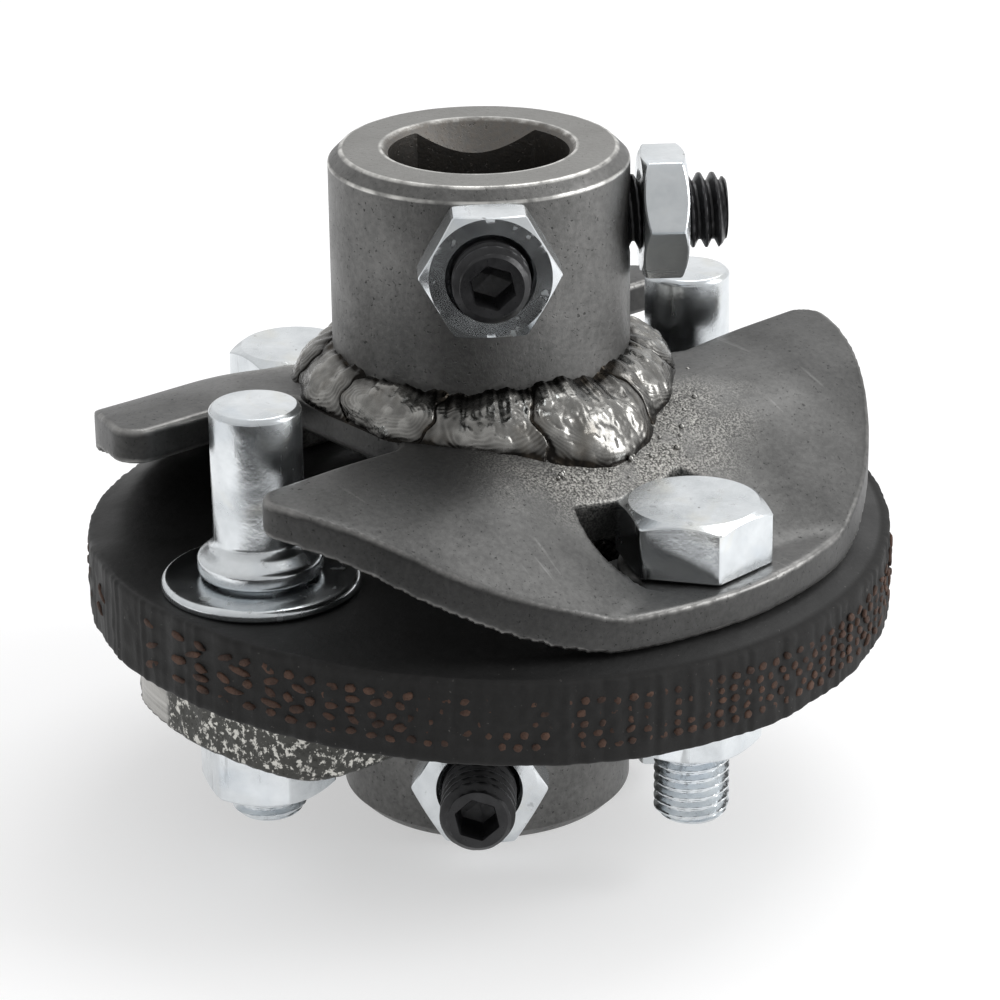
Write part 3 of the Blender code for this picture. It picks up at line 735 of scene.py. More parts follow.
def make_upper_hub():
    low, high = HUB_LOW[2], HUB_HIGH[2]
    corners = [
        (0.4, high, 0),
        (HUB_R - HUB_CHAMFER, high, 0.16),
        (HUB_R, high - HUB_CHAMFER, 0.16),
        (HUB_R, low + 0.8, 0.1),
        (HUB_R - 0.8, low, 0),
        (0.4, low, 0),
    ]
    hub = turned("upper_hub_turned", corners, 216, longest=1.1, angle=28)
    flat_turn = math.radians(SCREWS["upper_set_screw_front"][1])
    outline = []
    for x, y in ring_points(BORE_R, 144, 0.01):
        outline.append((max(-BORE_FLAT, min(BORE_FLAT, x)), y))
    bore = prism("upper_bore", outline, low - 2, high + 2)
    bore.rotation_euler = (0, 0, flat_turn)
    sink_corners = [(0.01, high + 1, 0), (SINK_R + 1, high + 1, 0), (0.01, high - SINK_R, 0)]
    sink = turned("upper_sink", sink_corners, 180)
    sink.rotation_euler = (0, 0, 0.013)
    cutters = [bore, sink] + hole_cutters(("upper_set_screw_front", "upper_set_screw_side"))
    boolean(hub, cutters)
    shade(hub.data, 28)
    return hub


def make_lower_hub():
    low, high = (span("lower_hub")[i][2] for i in (0, 1))
    corners = [
        (0.4, high, 0),
        (HUB_R - 0.8, high, 0.1),
        (HUB_R, high - 0.8, 0.1),
        (HUB_R, low + HUB_CHAMFER, 0.16),
        (HUB_R - HUB_CHAMFER, low, 0.16),
        (0.4, low, 0),
    ]
    hub = turned("lower_hub_turned", corners, 216, longest=1.1, angle=28)
    outline = []
    for index in range(72):
        angle = math.tau * (index + 0.2) / 72
        radius = 9.5 if index % 2 else 8.9
        outline.append((radius * math.cos(angle), radius * math.sin(angle)))
    bore = prism("lower_bore", outline, low - 2, high + 2)
    sink = turned("lower_sink", [(0.01, SINK_R, 0), (SINK_R + 1, -1, 0), (0.01, -1, 0)], 180)
    sink.rotation_euler = (0, 0, 0.013)
    cutters = [bore, sink] + hole_cutters(("lower_set_screw_front", "lower_set_screw_side"))
    boolean(hub, cutters)
    shade(hub.data, 28)
    return hub


def thread_rows(top, bottom, columns, radius, pitch):
    """Rows of a thread running down, with its lower end chamfered."""
    z = np.linspace(top, bottom, int((top - bottom) / pitch * THREAD_STEPS))
    limit = radius - 0.8 + (z - bottom)
    r = np.minimum(thread_radius(z, columns, radius, pitch), limit[:, None])
    return r, np.repeat(z[:, None], columns, 1)


def stack_rows(columns, *groups):
    """Joins plain (radius, height) points and ready arrays into one pair of arrays."""
    radii, heights = [], []
    for group in groups:
        if isinstance(group, tuple):
            radii.append(group[0])
            heights.append(group[1])
            continue
        radii.append(np.array([[r] * columns for r, _ in group]))
        heights.append(np.array([[z] * columns for _, z in group]))
    return np.concatenate(radii), np.concatenate(heights)


def make_pin(label):
    low, high = span("stop_pin_" + label)
    columns = 96
    top, bottom, radius, collar = high[2], low[2], 4.76, 6.55
    nut_low = span("pin_nut_" + label)[0][2]
    corners = [
        (0.05, top, 0),
        (radius - 0.42, top - 0.02, 0.15),
        (radius, top - 0.45, 0.2),
        (radius, 38.5, 0.4),
        (radius + 0.35, 37.75, 0.3),
        (collar - 0.75, 37.2, 0.3),
        (collar, 36.6, 0.4),
        (collar, 35.2, 0.3),
        (collar - 0.35, 34.75, 0.1),
        (radius, 34.75, 0),
        (radius, 24.0, 0),
        (THREAD_R, 23.75, 0),
        (THREAD_R, nut_low + 1.2, 0),
    ]
    body = stations(soften(corners), 1.5)
    thread = thread_rows(nut_low + 1.2, bottom, columns, THREAD_R, FINE_PITCH)
    radii, heights = stack_rows(columns, body, thread, [(0.05, bottom)])
    pin = polar_mesh("stop_pin_turned_" + label, radii, heights, angle=40)
    pin.location = (math.copysign(PIN_X, low[0]) * MM, 0, 0)
    return pin


def make_ring(name, node_name, inner, edge):
    low, high = span(node_name)
    outer = (high[0] - low[0]) / 2
    corners = [
        (inner, high[2] - 0.2, 0),
        (inner + 0.2, high[2], 0.05),
        (outer - edge, high[2], edge * 0.8),
        (outer, high[2] - edge, edge * 0.6),
        (outer, low[2] + 0.15, 0.1),
        (outer - 0.15, low[2], 0),
        (inner, low[2], 0),
    ]
    ring = turned(name, corners, closed=True)
    centre = (low + high) / 2
    ring.location = (centre[0] * MM, centre[1] * MM, 0)
    return ring


def hex_end(hexagon, flats, height, sign, hole, chamfered):
    """Rows of a nut's end: flat face, cone chamfer and the first bit of its sides."""
    columns = len(hexagon)
    face = flats / 2 - 0.12
    rows = []
    for share in (0.0, 0.35, 0.7, 1.0):
        ring = hole + 0.55 + (face - hole - 0.55) * share
        rows.append((np.minimum(ring, hexagon - 0.14), np.full(columns, height)))
    cone = np.maximum(hexagon - face, 0.0) * CHAMFER_SLOPE if chamfered else np.zeros(columns)
    rows.append((hexagon - 0.10, height - sign * np.maximum(cone - 0.05, 0.0)))
    rows.append((hexagon, height - sign * (cone + 0.12)))
    return rows


def hex_rows(flats, top, bottom, turn, columns, hole, ends):
    """Rows of a nut's outside, from its top face down its six sides to its other face."""
    hexagon = hex_radius(flats, turn, columns)
    top_rows = hex_end(hexagon, flats, top, 1, hole, ends[0])
    bottom_rows = hex_end(hexagon, flats, bottom, -1, hole, ends[1])
    rows = list(top_rows)
    for share in (0.33, 0.66):
        rows.append((hexagon, top_rows[-1][1] * (1 - share) + bottom_rows[-1][1] * share))
    rows += reversed(bottom_rows)
    return np.array([r for r, _ in rows]), np.array([z for _, z in rows])


def make_nut(name, flats, top, bottom, turn, ends=(True, True)):
    columns = 216
    radii, heights = hex_rows(flats, top, bottom, turn, columns, NUT_HOLE_R, ends)
    z = np.linspace(bottom + 0.5, top - 0.5, int((top - bottom) * 8))
    inner = np.full((len(z), columns), NUT_HOLE_R)
    radii = np.concatenate([radii, inner])
    heights = np.concatenate([heights, np.repeat(z[:, None], columns, 1)])
    return polar_mesh(name, radii, heights, closed=True, angle=24)


def make_bolt(label, flats, turn):
    low, high = span("clamp_bolt_" + label)
    columns = 216
    top, bottom = high[2], low[2]
    base = 37.1
    hexagon = hex_radius(flats, turn, columns)
    face = flats / 2 - 0.45
    cone = np.maximum(hexagon - face, 0.0) * CHAMFER_SLOPE
    flat = [(0.05, top - 0.10), (face * 0.45, top - 0.10), (face * 0.72, top - 0.03), (face, top)]
    sides_r = [hexagon - 0.12, hexagon, hexagon, hexagon, hexagon - 0.2]
    drop = top - cone
    sides_z = [
        drop + 0.04,
        drop - 0.14,
        (drop + base) / 2,
        np.full(columns, base + 0.2),
        np.full(columns, base),
    ]
    head = (np.array(sides_r), np.array(sides_z))
    nut_low = span("bolt_nut_" + label)[0][2]
    shank = [(THREAD_R, base), (THREAD_R, nut_low + 1.2)]
    thread = thread_rows(nut_low + 1.2, bottom, columns, THREAD_R, FINE_PITCH)
    radii, heights = stack_rows(columns, flat, head, shank, thread, [(0.05, bottom)])
    bolt = polar_mesh("clamp_bolt_turned_" + label, radii, heights, angle=24)
    bolt.location = (0, math.copysign(BOLT_Y, low[1]) * MM, 0)
    return bolt


def make_set_screw(name):
    height, azimuth, inner, outer, _, _ = SCREWS[name]
    columns = 96
    socket = hex_radius(4.0, 12.0, columns, 60)
    z = np.linspace(outer, inner + 0.3, int((outer - inner) / COARSE_PITCH * THREAD_STEPS))
    thread = thread_radius(z, columns, THREAD_R, COARSE_PITCH)
    limit = np.minimum(THREAD_R - 0.75 + (outer - z), THREAD_R - 1.2 + (z - inner))
    thread = np.minimum(thread, limit[:, None])
    tip, brim = np.full(columns, 0.05), np.full(columns, THREAD_R - 0.85)
    mouth = np.array([tip, socket * 0.5, socket, socket, socket * 1.07, brim])
    mouth_z = np.array([outer - 4.4, outer - 4.1, outer - 3.9, outer - 0.25, outer, outer])
    mouth = (mouth, np.repeat(mouth_z[:, None], columns, 1))
    body = (thread, np.repeat(z[:, None], columns, 1))
    radii, heights = stack_rows(columns, mouth, body, [(2.4, inner), (0.05, inner + 0.5)])
    screw = polar_mesh(name + "_turned", radii, heights, angle=40)
    screw.matrix_world = radial_matrix(height, azimuth)
    return screw


def make_jam_nut(name):
    height, azimuth, _, _, _, turn = SCREWS[name]
    top = JAM_NUT_START + JAM_NUT_HEIGHT
    nut = make_nut(name.replace("set_screw", "jam_nut") + "_hex", NUT_FLATS, top, JAM_NUT_START, turn)
    nut.matrix_world = radial_matrix(height, azimuth)
    return nut


# ---------------------------------------------------------------- flanges


def flange_outline():
    tip_x = math.sqrt(FLANGE_R**2 - NOTCH_HALF**2)
    tip_angle = math.atan2(NOTCH_HALF, tip_x)
    corners = []
    for side in (1, -1):
        corners.append((side * NOTCH_FLOOR, -side * NOTCH_HALF, 2.6))
        corners.append((side * NOTCH_FLOOR, side * NOTCH_HALF, 2.6))
        corners.append((side * tip_x, side * NOTCH_HALF, 2.6))
        start = tip_angle + math.radians(6)
        end = math.pi - start
        for step in range(61):
            angle = start + (end - start) * step / 60
            corners.append((side * FLANGE_R * math.cos(angle), side * FLANGE_R * math.sin(angle), 0))
        corners.append((-side * tip_x, side * NOTCH_HALF, 2.6))
    return round_corners(corners)


def bend_start(x):
    """The plate bends nearer the shaft beside the bolts than out at its wings."""
    return BEND_START_Y + BEND_SPREAD * float(smoothstep(8.0, 20.0, abs(x)))


def bent_mid_line(x):
    """Middle of the bent plate from the shaft outward, as (y, z, slope) stations."""
    tangent_in = BEND_IN_R * math.tan(BEND_ANGLE / 2)
    tangent_out = BEND_OUT_R * math.tan(BEND_ANGLE / 2)
    slope_length = (FLANGE_TOP - PAD_TOP) / math.sin(BEND_ANGLE)
    pieces = [
        (bend_start(x) - tangent_in, 0.0, 1),
        (BEND_IN_R * BEND_ANGLE, BEND_ANGLE, 16),
        (slope_length - tangent_in - tangent_out, 0.0, 1),
        (BEND_OUT_R * BEND_ANGLE, -BEND_ANGLE, 12),
        (14.0, 0.0, 1),
    ]
    y, z, slope = 0.0, FLANGE_TOP - PLATE / 2, 0.0
    line = [(y, z, slope)]
    for length, turn, steps in pieces:
        for _ in range(steps):
            middle = slope + turn / steps / 2
            y += length / steps * math.cos(middle)
            z -= length / steps * math.sin(middle)
            slope += turn / steps
            line.append((y, z, slope))
    return line


def plate_side(x, offset):
    """One surface of the bent plate as (y, z) points, offset from its middle."""
    line = bent_mid_line(x)
    return [(y + offset * math.sin(t), z + offset * math.cos(t)) for y, z, t in line]


def plate_top(x, y):
    """Height of the bent plate's top surface."""
    points = plate_side(x, PLATE / 2)
    return float(np.interp(abs(y), [p[0] for p in points], [p[1] for p in points]))


def plate_section(x):
    """Closed (y, z) section of the bent plate."""
    upper, lower = plate_side(x, PLATE / 2), plate_side(x, -PLATE / 2)
    upper = [(-y, z) for y, z in reversed(upper[1:])] + upper
    lower = [(-y, z) for y, z in reversed(lower[1:])] + lower
    return lower + upper[::-1]


def make_bent_plate():
    bm = bmesh.new()
    rings = []
    for x in [-46.013] + list(np.linspace(-20.037, 20.041, 21)) + [46.017]:
        ring = [bm.verts.new((x * MM, y * MM, z * MM)) for y, z in plate_section(x)]
        rings.append(ring)
    for ring, following in zip(rings, rings[1:]):
        for index in range(len(ring)):
            after = (index + 1) % len(ring)
            bm.faces.new((ring[index], ring[after], following[after], following[index]))
    bm.faces.new(rings[0])
    bm.faces.new(rings[-1])
    bmesh.ops.triangulate(bm, faces=bm.faces)
    bmesh.ops.recalc_face_normals(bm, faces=bm.faces)
    bmesh.ops.rotate(bm, verts=bm.verts, matrix=Matrix.Rotation(0.0007, 3, "Z"))
    mesh = bpy.data.meshes.new("upper_flange_plate")
    bm.to_mesh(mesh)
    bm.free()
    return link(mesh, "upper_flange_plate")


def window_outline(side):
    """Opening beside a bolt head, with its four sides bowed in or out."""
    outline = []
    for index, bow in enumerate(WINDOW_BOWS):
        start = np.array(WINDOW_CORNERS[index])
        end = np.array(WINDOW_CORNERS[(index + 1) % 4])
        across = np.array([start[1] - end[1], end[0] - start[0]]) / np.linalg.norm(end - start)
        for share in np.linspace(0, 1, 12, endpoint=False):
            outline.append(start + (end - start) * share + across * bow * 4 * share * (1 - share))
    return [(-side * x, -side * y) for x, y in outline]


def seat_outline(side):
    """Flat tongue under a bolt head, joined to the plate at its outer end."""
    outline = []
    for step in range(37):
        angle = math.pi * (1 + step / 36)
        x = SEAT_R * math.cos(angle)
        y = BOLT_Y + SEAT_R * math.sin(angle)
        outline.append((x, max(y, SEAT_INNER_Y)))
    outline.append((SEAT_HALF, SEAT_NECK_Y))
    outline.append((SEAT_HALF, SEAT_OUTER_Y))
    outline.append((-SEAT_HALF, SEAT_OUTER_Y))
    outline.append((-SEAT_HALF, SEAT_NECK_Y))
    return [(side * x, side * y) for x, y in outline]


def tumble(obj, voxel, rounds):
    """Remeshes evenly and rounds the edges a little, as tumbling does."""
    remesh = obj.modifiers.new("even", "REMESH")
    remesh.mode = "VOXEL"
    remesh.voxel_size = voxel * MM
    remesh.adaptivity = 0.0
    smooth = obj.modifiers.new("round", "SMOOTH")
    smooth.factor = 0.5
    smooth.iterations = rounds
    apply_modifiers(obj)


def wing_lift(x, y):
    """Each wing stands a little high at one end and a little low at the other."""
    along = -x * np.tanh(y / (8 * MM))
    tips = smoothstep(16 * MM, 30 * MM, np.abs(x)) * smoothstep(19 * MM, 10 * MM, np.abs(y))
    return np.where(along > 0, along * 0.016, along * 0.010) + tips * 0.45 * MM


def make_upper_flange():
    flange = make_bent_plate()
    boolean(flange, [prism("outline", flange_outline(), *UPPER_CUT)], "INTERSECT")
    cutters = [cylinder("hub_hole", HUB_R + 0.2, *UPPER_CUT, count=180)]
    cutters += [prism("window", window_outline(side), *UPPER_CUT) for side in (-1, 1)]
    boolean(flange, cutters)
    low, high = PAD_TOP - PLATE + 0.05, PAD_TOP - 0.05
    boolean(flange, [prism("seat", seat_outline(s), low, high) for s in (-1, 1)], "UNION")
    holes = [cylinder("bolt_hole", 4.4, *UPPER_CUT, (0.0, s * BOLT_Y)) for s in (-1, 1)]
    boolean(flange, holes)
    tumble(flange, 0.36, 4)
    mark_edges(flange.data)
    co = vertex_array(flange.data)
    push = (value_noise(co / MM, 7.0, 3) - 0.5) * 0.10
    co[:, 2] += push * MM + wing_lift(co[:, 0], co[:, 1])
    write_vertices(flange.data, co)
    flange.data.shade_smooth()
    return flange


def lower_flange_outline():
    outline = []
    for index in range(240):
        angle = math.tau * index / 240
        side = 16.2 / max(abs(math.sin(angle)), 0.001)
        reach = (40.0**-14 + side**-14) ** (-1 / 14)
        reach = max(reach, 22.5)
        outline.append((reach * math.cos(angle), reach * math.sin(angle)))
    return outline


def make_lower_flange():
    low, high = (span("lower_flange")[i][2] for i in (0, 1))
    flange = prism("lower_flange_plate", lower_flange_outline(), low, high)
    groove_corners = [(0.01, high + 1, 0), (19.6, high + 1, 0), (0.01, high + 1 - 19.6, 0)]
    groove = turned("groove", groove_corners, 180)
    cutters = [cylinder("hub_hole", HUB_R + 0.2, *LOWER_CUT, count=180), groove]
    cutters += [cylinder("pin_hole", 4.3, *LOWER_CUT, (s * PIN_X, 0.0)) for s in (-1, 1)]
    boolean(flange, cutters)
    tumble(flange, 0.38, 3)
    mesh = flange.data
    co = vertex_array(mesh) / MM
    normals = np.empty(len(co) * 3, np.float32)
    mesh.vertices.foreach_get("normal", normals)
    normals = normals.reshape(-1, 3)
    radius = np.hypot(co[:, 0], co[:, 1])
    wall = smoothstep(0.45, 0.8, np.abs(normals[:, :2]).max(1)) * (radius > 21.0)
    azimuth = np.degrees(np.arctan2(co[:, 1], co[:, 0]))
    ground_centre = 207.5 + PHOTO_TURN
    away = np.abs((azimuth - ground_centre + 180) % 360 - 180)
    ground = wall * smoothstep(6.2, 5.0, away)
    cut = wall * (1 - ground)
    rough = value_noise(co, 0.75, 5) * 0.6 + value_noise(co, 0.38, 6) * 0.4
    push = -cut * rough * 0.42 - ground * 0.28
    co += normals * push[:, None]
    write_vertices(mesh, co * MM)
    add_attribute(mesh, "ground", ground)
    add_attribute(mesh, "cut", cut)
    mesh.shade_smooth()
    return flange


# ---------------------------------------------------------------- welds

def flow(points, seed):
    """A smooth wandering offset, from -1 to 1."""
    x, y, z = points[..., 0], points[..., 1], points[..., 2]
    wave = np.sin(x * 0.71 + y * 0.43 + z * 0.9 + seed)
    wave = wave + 0.6 * np.sin(x * -0.52 + y * 1.13 - z * 0.7 + seed * 2.3)
    return (wave + 0.4 * np.sin(x * 1.9 - y * 1.5 + z * 1.7 + seed * 3.1)) / 2


def mean_ring(theta):
    """Points round the middle of the bead, as places for noise."""
    across = [np.cos(theta) * WELD_MEAN_R, np.sin(theta) * WELD_MEAN_R]
    return np.stack([*across, np.zeros(len(theta))], -1)


def weld_foot(columns):
    """Azimuth, toe radius and the height of the plate under the toe, all the way round."""
    theta = np.arange(columns) * math.tau / columns
    ring = mean_ring(theta)
    toe = np.full(columns, WELD_TOE_R)
    for azimuth, half, _, _, _, _, reach in PADS:
        centre = math.radians(azimuth + PHOTO_TURN)
        away = np.abs((theta - centre + math.pi) % math.tau - math.pi)
        swell = np.cos(np.clip(away * WELD_MEAN_R / half, 0, 1.5))
        toe = np.maximum(toe, WELD_TOE_R + (reach - WELD_TOE_R) * swell)
    toe += flow(ring * 1.4, 2.0) * 0.22
    limit = 19.6 / np.maximum(np.abs(np.cos(theta)), 0.01)
    soft = smoothstep(-1.2, 1.2, toe - limit)
    toe = toe * (1 - soft) + np.minimum(toe, limit) * soft
    base = [plate_top(r * math.cos(a), r * math.sin(a)) for r, a in zip(toe, theta)]
    x, y = toe * np.cos(theta) * MM, toe * np.sin(theta) * MM
    base = np.array(base) + wing_lift(x, y) / MM - 0.12
    return theta, toe, base


def weld_profile(columns, s):
    """Smooth bead, hub side to toe: radius, height and the foot height of each column."""
    theta, toe, base = weld_foot(columns)
    ring = mean_ring(theta)
    top = span("upper_weld")[1][2] - 0.3
    crown = top + flow(ring * 0.9, 5.0) * 0.55 + flow(ring * 3.1, 6.0) * 0.22
    inner = HUB_R - 0.25
    control_r = inner + (toe - inner) * 0.66
    control_z = base + (crown - base) * 0.66
    r = (1 - s) ** 2 * inner + 2 * s * (1 - s) * control_r + s**2 * toe
    z = (1 - s) ** 2 * crown + 2 * s * (1 - s) * control_z + s**2 * base
    return r, z, base


def weld_pads(t, s, place):
    """Height of the highest pad, the lead it has on the next one, and its fine rings."""
    warp_u = flow(place, 1.0) * 0.8 + (value_noise(place, 1.4, 15) - 0.5) * 0.35
    warp_v = flow(place, 4.0) * 0.7 + (value_noise(place, 1.3, 17) - 0.5) * 0.3
    best = np.full(t.shape, -9.0)
    second = np.full(t.shape, -9.0)
    ripple = np.zeros(t.shape)
    for index, (azimuth, half, width, offset, tilt, dome, _) in enumerate(PADS):
        centre = math.radians(azimuth + PHOTO_TURN)
        u = ((t - centre + math.pi) % math.tau - math.pi) * 18.6 + warp_u
        v = (s - 0.5) * 9.4 - offset + warp_v
        cu = u * math.cos(tilt) + v * math.sin(tilt)
        cv = -u * math.sin(tilt) + v * math.cos(tilt)
        d = np.sqrt((cu / half) ** 2 + (cv / width) ** 2)
        height = dome * (1.0 - d**2) + (0.10 if index % 2 else 0.0)
        lines = (0.5 + 0.5 * np.cos(math.tau * d * width / RING_SPACING + index)) ** 1.6
        fade = smoothstep(0.3, 0.6, d) * value_noise(place, 1.8, 30 + index) * 1.2
        wins = height > best
        second = np.where(wins, best, np.maximum(second, height))
        ripple = np.where(wins, lines * fade, ripple)
        best = np.where(wins, height, best)
    return best, best - second, ripple


def make_upper_weld():
    """Overlapping oval pads with fine rings, like a bead laid in stitches."""
    rows, columns = 70, 1260
    theta = np.arange(columns) * math.tau / columns
    t, s = np.meshgrid(theta, np.linspace(0, 1, rows))
    r, z, base = weld_profile(columns, s)
    place = np.stack([r * np.cos(t), r * np.sin(t), z], -1)
    best, lead, ripple = weld_pads(t, s, place)
    crease = smoothstep(0.10, 0.0, lead)
    best = np.maximum(best, -0.5)
    edge_fade = np.minimum(smoothstep(0.0, 0.10, s), smoothstep(1.0, 0.92, s))
    rough = (value_noise(place, 0.45, 18) - 0.5) * 0.07 + (value_noise(place, 1.1, 19) - 0.5) * 0.14
    rough = rough * smoothstep(0.05, 0.35, s)
    ripple = ripple * smoothstep(0.24, 0.46, s)
    lumps = smoothstep(0.45, 0.8, value_noise(place, 0.9, 25)) * smoothstep(0.0, 0.4, best)
    push = (best * 0.85 + ripple * 0.055 - crease * 0.22 + rough + lumps * 0.12) * edge_fade
    # Painted shade and highlight: lighter on the pad tops, the ripple crests and the lumps, darker in the
    # creases between pads and where the bead meets the hub and the plate.
    shown = 0.30 + 0.26 * ripple + 0.55 * np.clip(best, -0.5, 0.45) + rough * 1.6 + lumps * 0.3
    shown -= 0.40 * smoothstep(0.2, 0.0, s) + 0.35 * smoothstep(0.86, 1.0, s) + 0.45 * crease
    radii = np.concatenate([r + push * 0.70, np.full((1, columns), HUB_R - 0.25)])
    heights = np.concatenate([z + push * 0.71, base[None, :] - 0.3])
    shades = {"ripple": np.concatenate([shown, np.zeros((1, columns))])}
    return polar_mesh("upper_weld_bead", radii, heights, closed=True, angle=80, attributes=shades)


def make_lower_weld():
    """A low bead that closes the groove between the lower hub and its flange."""
    low, high = span("lower_weld")
    columns, rows = 720, 24
    theta = np.arange(columns) * math.tau / columns
    t, s = np.meshgrid(theta, np.linspace(0, 1, rows))
    inner, outer = HUB_R - 0.2, 18.45
    r = inner + (outer - inner) * s
    place = np.stack([r * np.cos(t), r * np.sin(t), s * 0], -1)
    ripple = np.cos(t * 90 + 2.2 * (s - 0.5) ** 2 * 4)
    rise = np.sin(np.pi * s) * 0.55
    z = high[2] - 0.45 + rise + ripple * 0.02 + (value_noise(place, 1.0, 21) - 0.5) * 0.2
    # Painted shade: the colour is lighter on the ripple crests and darker in their troughs.
    shown = 0.16 + 0.06 * ripple
    radii = np.concatenate([r, np.full((1, columns), inner)])
    heights = np.concatenate([z, np.full((1, columns), low[2] + 0.1)])
    shades = {"ripple": np.concatenate([shown, np.zeros((1, columns))])}
    return polar_mesh("lower_weld_bead", radii, heights, closed=True, angle=80, attributes=shades)


def make_spatter():
    """Tiny weld balls lying on the flange round the front of the bead."""
    rng = random.Random(7)
    bm = bmesh.new()
    for _ in range(26):
        azimuth = math.radians(rng.uniform(-75, 5) + PHOTO_TURN)
        radius = rng.uniform(21.9, 24.5)
        x, y = radius * math.cos(azimuth), radius * math.sin(azimuth)
        size = rng.choice((0.14, 0.18, 0.24, 0.34))
        z = plate_top(x, y) + size * 0.5
        spot = Matrix.Translation((x * MM, y * MM, z * MM))
        bmesh.ops.create_icosphere(bm, subdivisions=2, radius=size * MM, matrix=spot)
    mesh = bpy.data.meshes.new("weld_spatter")
    bm.to_mesh(mesh)
    bm.free()
    mesh.shade_smooth()
    add_attribute(mesh, "ripple", np.full(len(mesh.vertices), 0.95))
    return link(mesh, "weld_spatter")


# ---------------------------------------------------------------- disc


def disc_drop(radius, theta):
    share = smoothstep(39.4, DISC_R, radius)
    return share * (1.1 * np.cos(2 * theta) - 0.75)


def cord_places():
    """Where the plies' cords come out of the rim: (azimuth, height, stretch)."""
    rng = random.Random(11)
    places = []
    for row in range(CORD_ROWS):
        share = (row + 0.5) / CORD_ROWS
        height = DISC_BOTTOM + 1.75 + (DISC_TOP - DISC_BOTTOM - 3.3) * share
        direction = math.radians(CORD_DIRECTION + (8.0 if row % 2 else -6.0))
        count = int(DISC_R / CORD_SPACING)
        for index in range(-count, count + 1):
            lateral = (index + (0.5 if row % 2 else 0.0)) * CORD_SPACING
            lateral += rng.uniform(-0.16, 0.16)
            if abs(lateral) > DISC_R * 0.975:
                continue
            phi = math.asin(lateral / DISC_R)
            for angle in (direction + phi, direction + math.pi - phi):
                stretch = min(2.6, 1 / max(0.2, abs(math.cos(phi))))
                places.append((angle, height + rng.uniform(-0.16, 0.16), stretch))
    return places


def disc_rows():
    """The disc's outline as (radius, height) rows: top, rim and underside."""
    edge = DISC_R
    flat = [20.2, 24.0, 28.0, 32.0, 36.0, 39.4, 40.2, 41.0, 41.8, 42.5]
    rim_top = [(edge - 0.75, 0.0), (edge - 0.35, -0.05), (edge - 0.1, -0.28)]
    rows = [(20.0, DISC_TOP - 0.25)] + [(r, DISC_TOP) for r in flat]
    rows += [(r, DISC_TOP + z) for r, z in rim_top]
    rim_rows = 34
    for index in range(rim_rows + 1):
        share = index / rim_rows
        rows.append((edge, DISC_TOP - 0.6 - (DISC_TOP - DISC_BOTTOM - 1.2) * share))
    rows += [(r, DISC_BOTTOM - z) for r, z in reversed(rim_top)]
    return rows + [(r, DISC_BOTTOM) for r in reversed(flat)] + [(20.0, DISC_BOTTOM + 0.25)]


def cord_swell(t, z):
    """How far each cord pushes the rim out, summed over the cords."""
    push = np.zeros_like(z)
    for angle, height, stretch in cord_places():
        along = ((t - angle + math.pi) % math.tau - math.pi) * DISC_R
        close = (np.abs(along) < 3.0) & (np.abs(z - height) < 2.0)
        d2 = (along[close] / (0.62 * stretch)) ** 2 + ((z[close] - height) / 0.62) ** 2
        push[close] += 0.16 * np.exp(-d2)
    return push


def make_disc():
    columns = 1080
    theta = np.arange(columns) * math.tau / columns
    rows = disc_rows()
    r = np.array([[row[0]] * columns for row in rows])
    z = np.array([[row[1]] * columns for row in rows])
    t = np.repeat(theta[None, :], len(rows), 0)
    on_rim = smoothstep(DISC_R - 0.2, DISC_R - 0.02, r)
    near_edge = smoothstep(DISC_R - 0.9, DISC_R - 0.3, r)
    place = np.stack([r * np.cos(t), r * np.sin(t), z], -1)
    waves = (value_noise(place, 6.0, 41) - 0.5) * 0.35 + (value_noise(place, 1.3, 42) - 0.5) * 0.16
    teeth = (value_noise(np.stack([t * DISC_R, t * 0, t * 0], -1), 0.7, 43) - 0.5) * 0.22
    push = cord_swell(t, z) * on_rim - 0.14 * on_rim + waves * near_edge + teeth * near_edge
    z = z + disc_drop(r, t) + (value_noise(place, 5.0, 44) - 0.5) * 0.08
    disc = polar_mesh("disc_body", r + push, z, closed=True, angle=60)
    holes = [cylinder("pin_hole", 5.2, *DISC_CUT, (s * PIN_X, 0.0), 48) for s in (-1, 1)]
    holes += [cylinder("bolt_hole", 4.6, *DISC_CUT, (0.0, s * BOLT_Y), 48) for s in (-1, 1)]
    boolean(disc, holes)
    shade(disc.data, 60)
    return disc


def cord_end_rings(rng, angle, height, stretch):
    """Corners of one low oval dome on the rim, three rings from its foot to its top."""
    half_u = rng.uniform(0.40, 0.58) * stretch
    half_v = rng.uniform(0.38, 0.54)
    tilt = rng.uniform(-0.5, 0.5)
    drop = float(disc_drop(DISC_R, angle))
    rise = rng.uniform(0.10, 0.22)
    corners = []
    for ring_share, lift in ((1.0, -0.12), (0.78, rise * 0.75), (0.4, rise)):
        for side in range(CORD_SIDES):
            turn = math.tau * side / CORD_SIDES
            wobble = 1 + rng.uniform(-0.13, 0.13)
            u = half_u * ring_share * math.cos(turn) * wobble
            v = half_v * ring_share * math.sin(turn) * wobble
            along = u * math.cos(tilt) - v * math.sin(tilt)
            up = u * math.sin(tilt) + v * math.cos(tilt)
            radius = DISC_R - 0.02 + lift
            a = angle + along / DISC_R
            corners.append((radius * math.cos(a), radius * math.sin(a), height + up + drop))
    return corners


def make_cord_ends():
    """Frayed brown cord ends, one low oval dome each."""
    rng = random.Random(23)
    verts, faces = [], []
    for angle, height, stretch in cord_places():
        start = len(verts)
        verts += cord_end_rings(rng, angle, height, stretch)
        for level in range(2):
            for side in range(CORD_SIDES):
                a = start + level * CORD_SIDES + side
                b = start + level * CORD_SIDES + (side + 1) % CORD_SIDES
                faces.append((a, b, b + CORD_SIDES, a + CORD_SIDES))
        faces.append(tuple(start + 2 * CORD_SIDES + side for side in range(CORD_SIDES)))
        faces.append(tuple(start + side for side in reversed(range(CORD_SIDES))))
    mesh = bpy.data.meshes.new("cord_ends")
    mesh.from_pydata((np.array(verts) * MM).tolist(), [], faces)
    face_outward(mesh)
    mesh.shade_smooth()
    return link(mesh, "cord_ends")


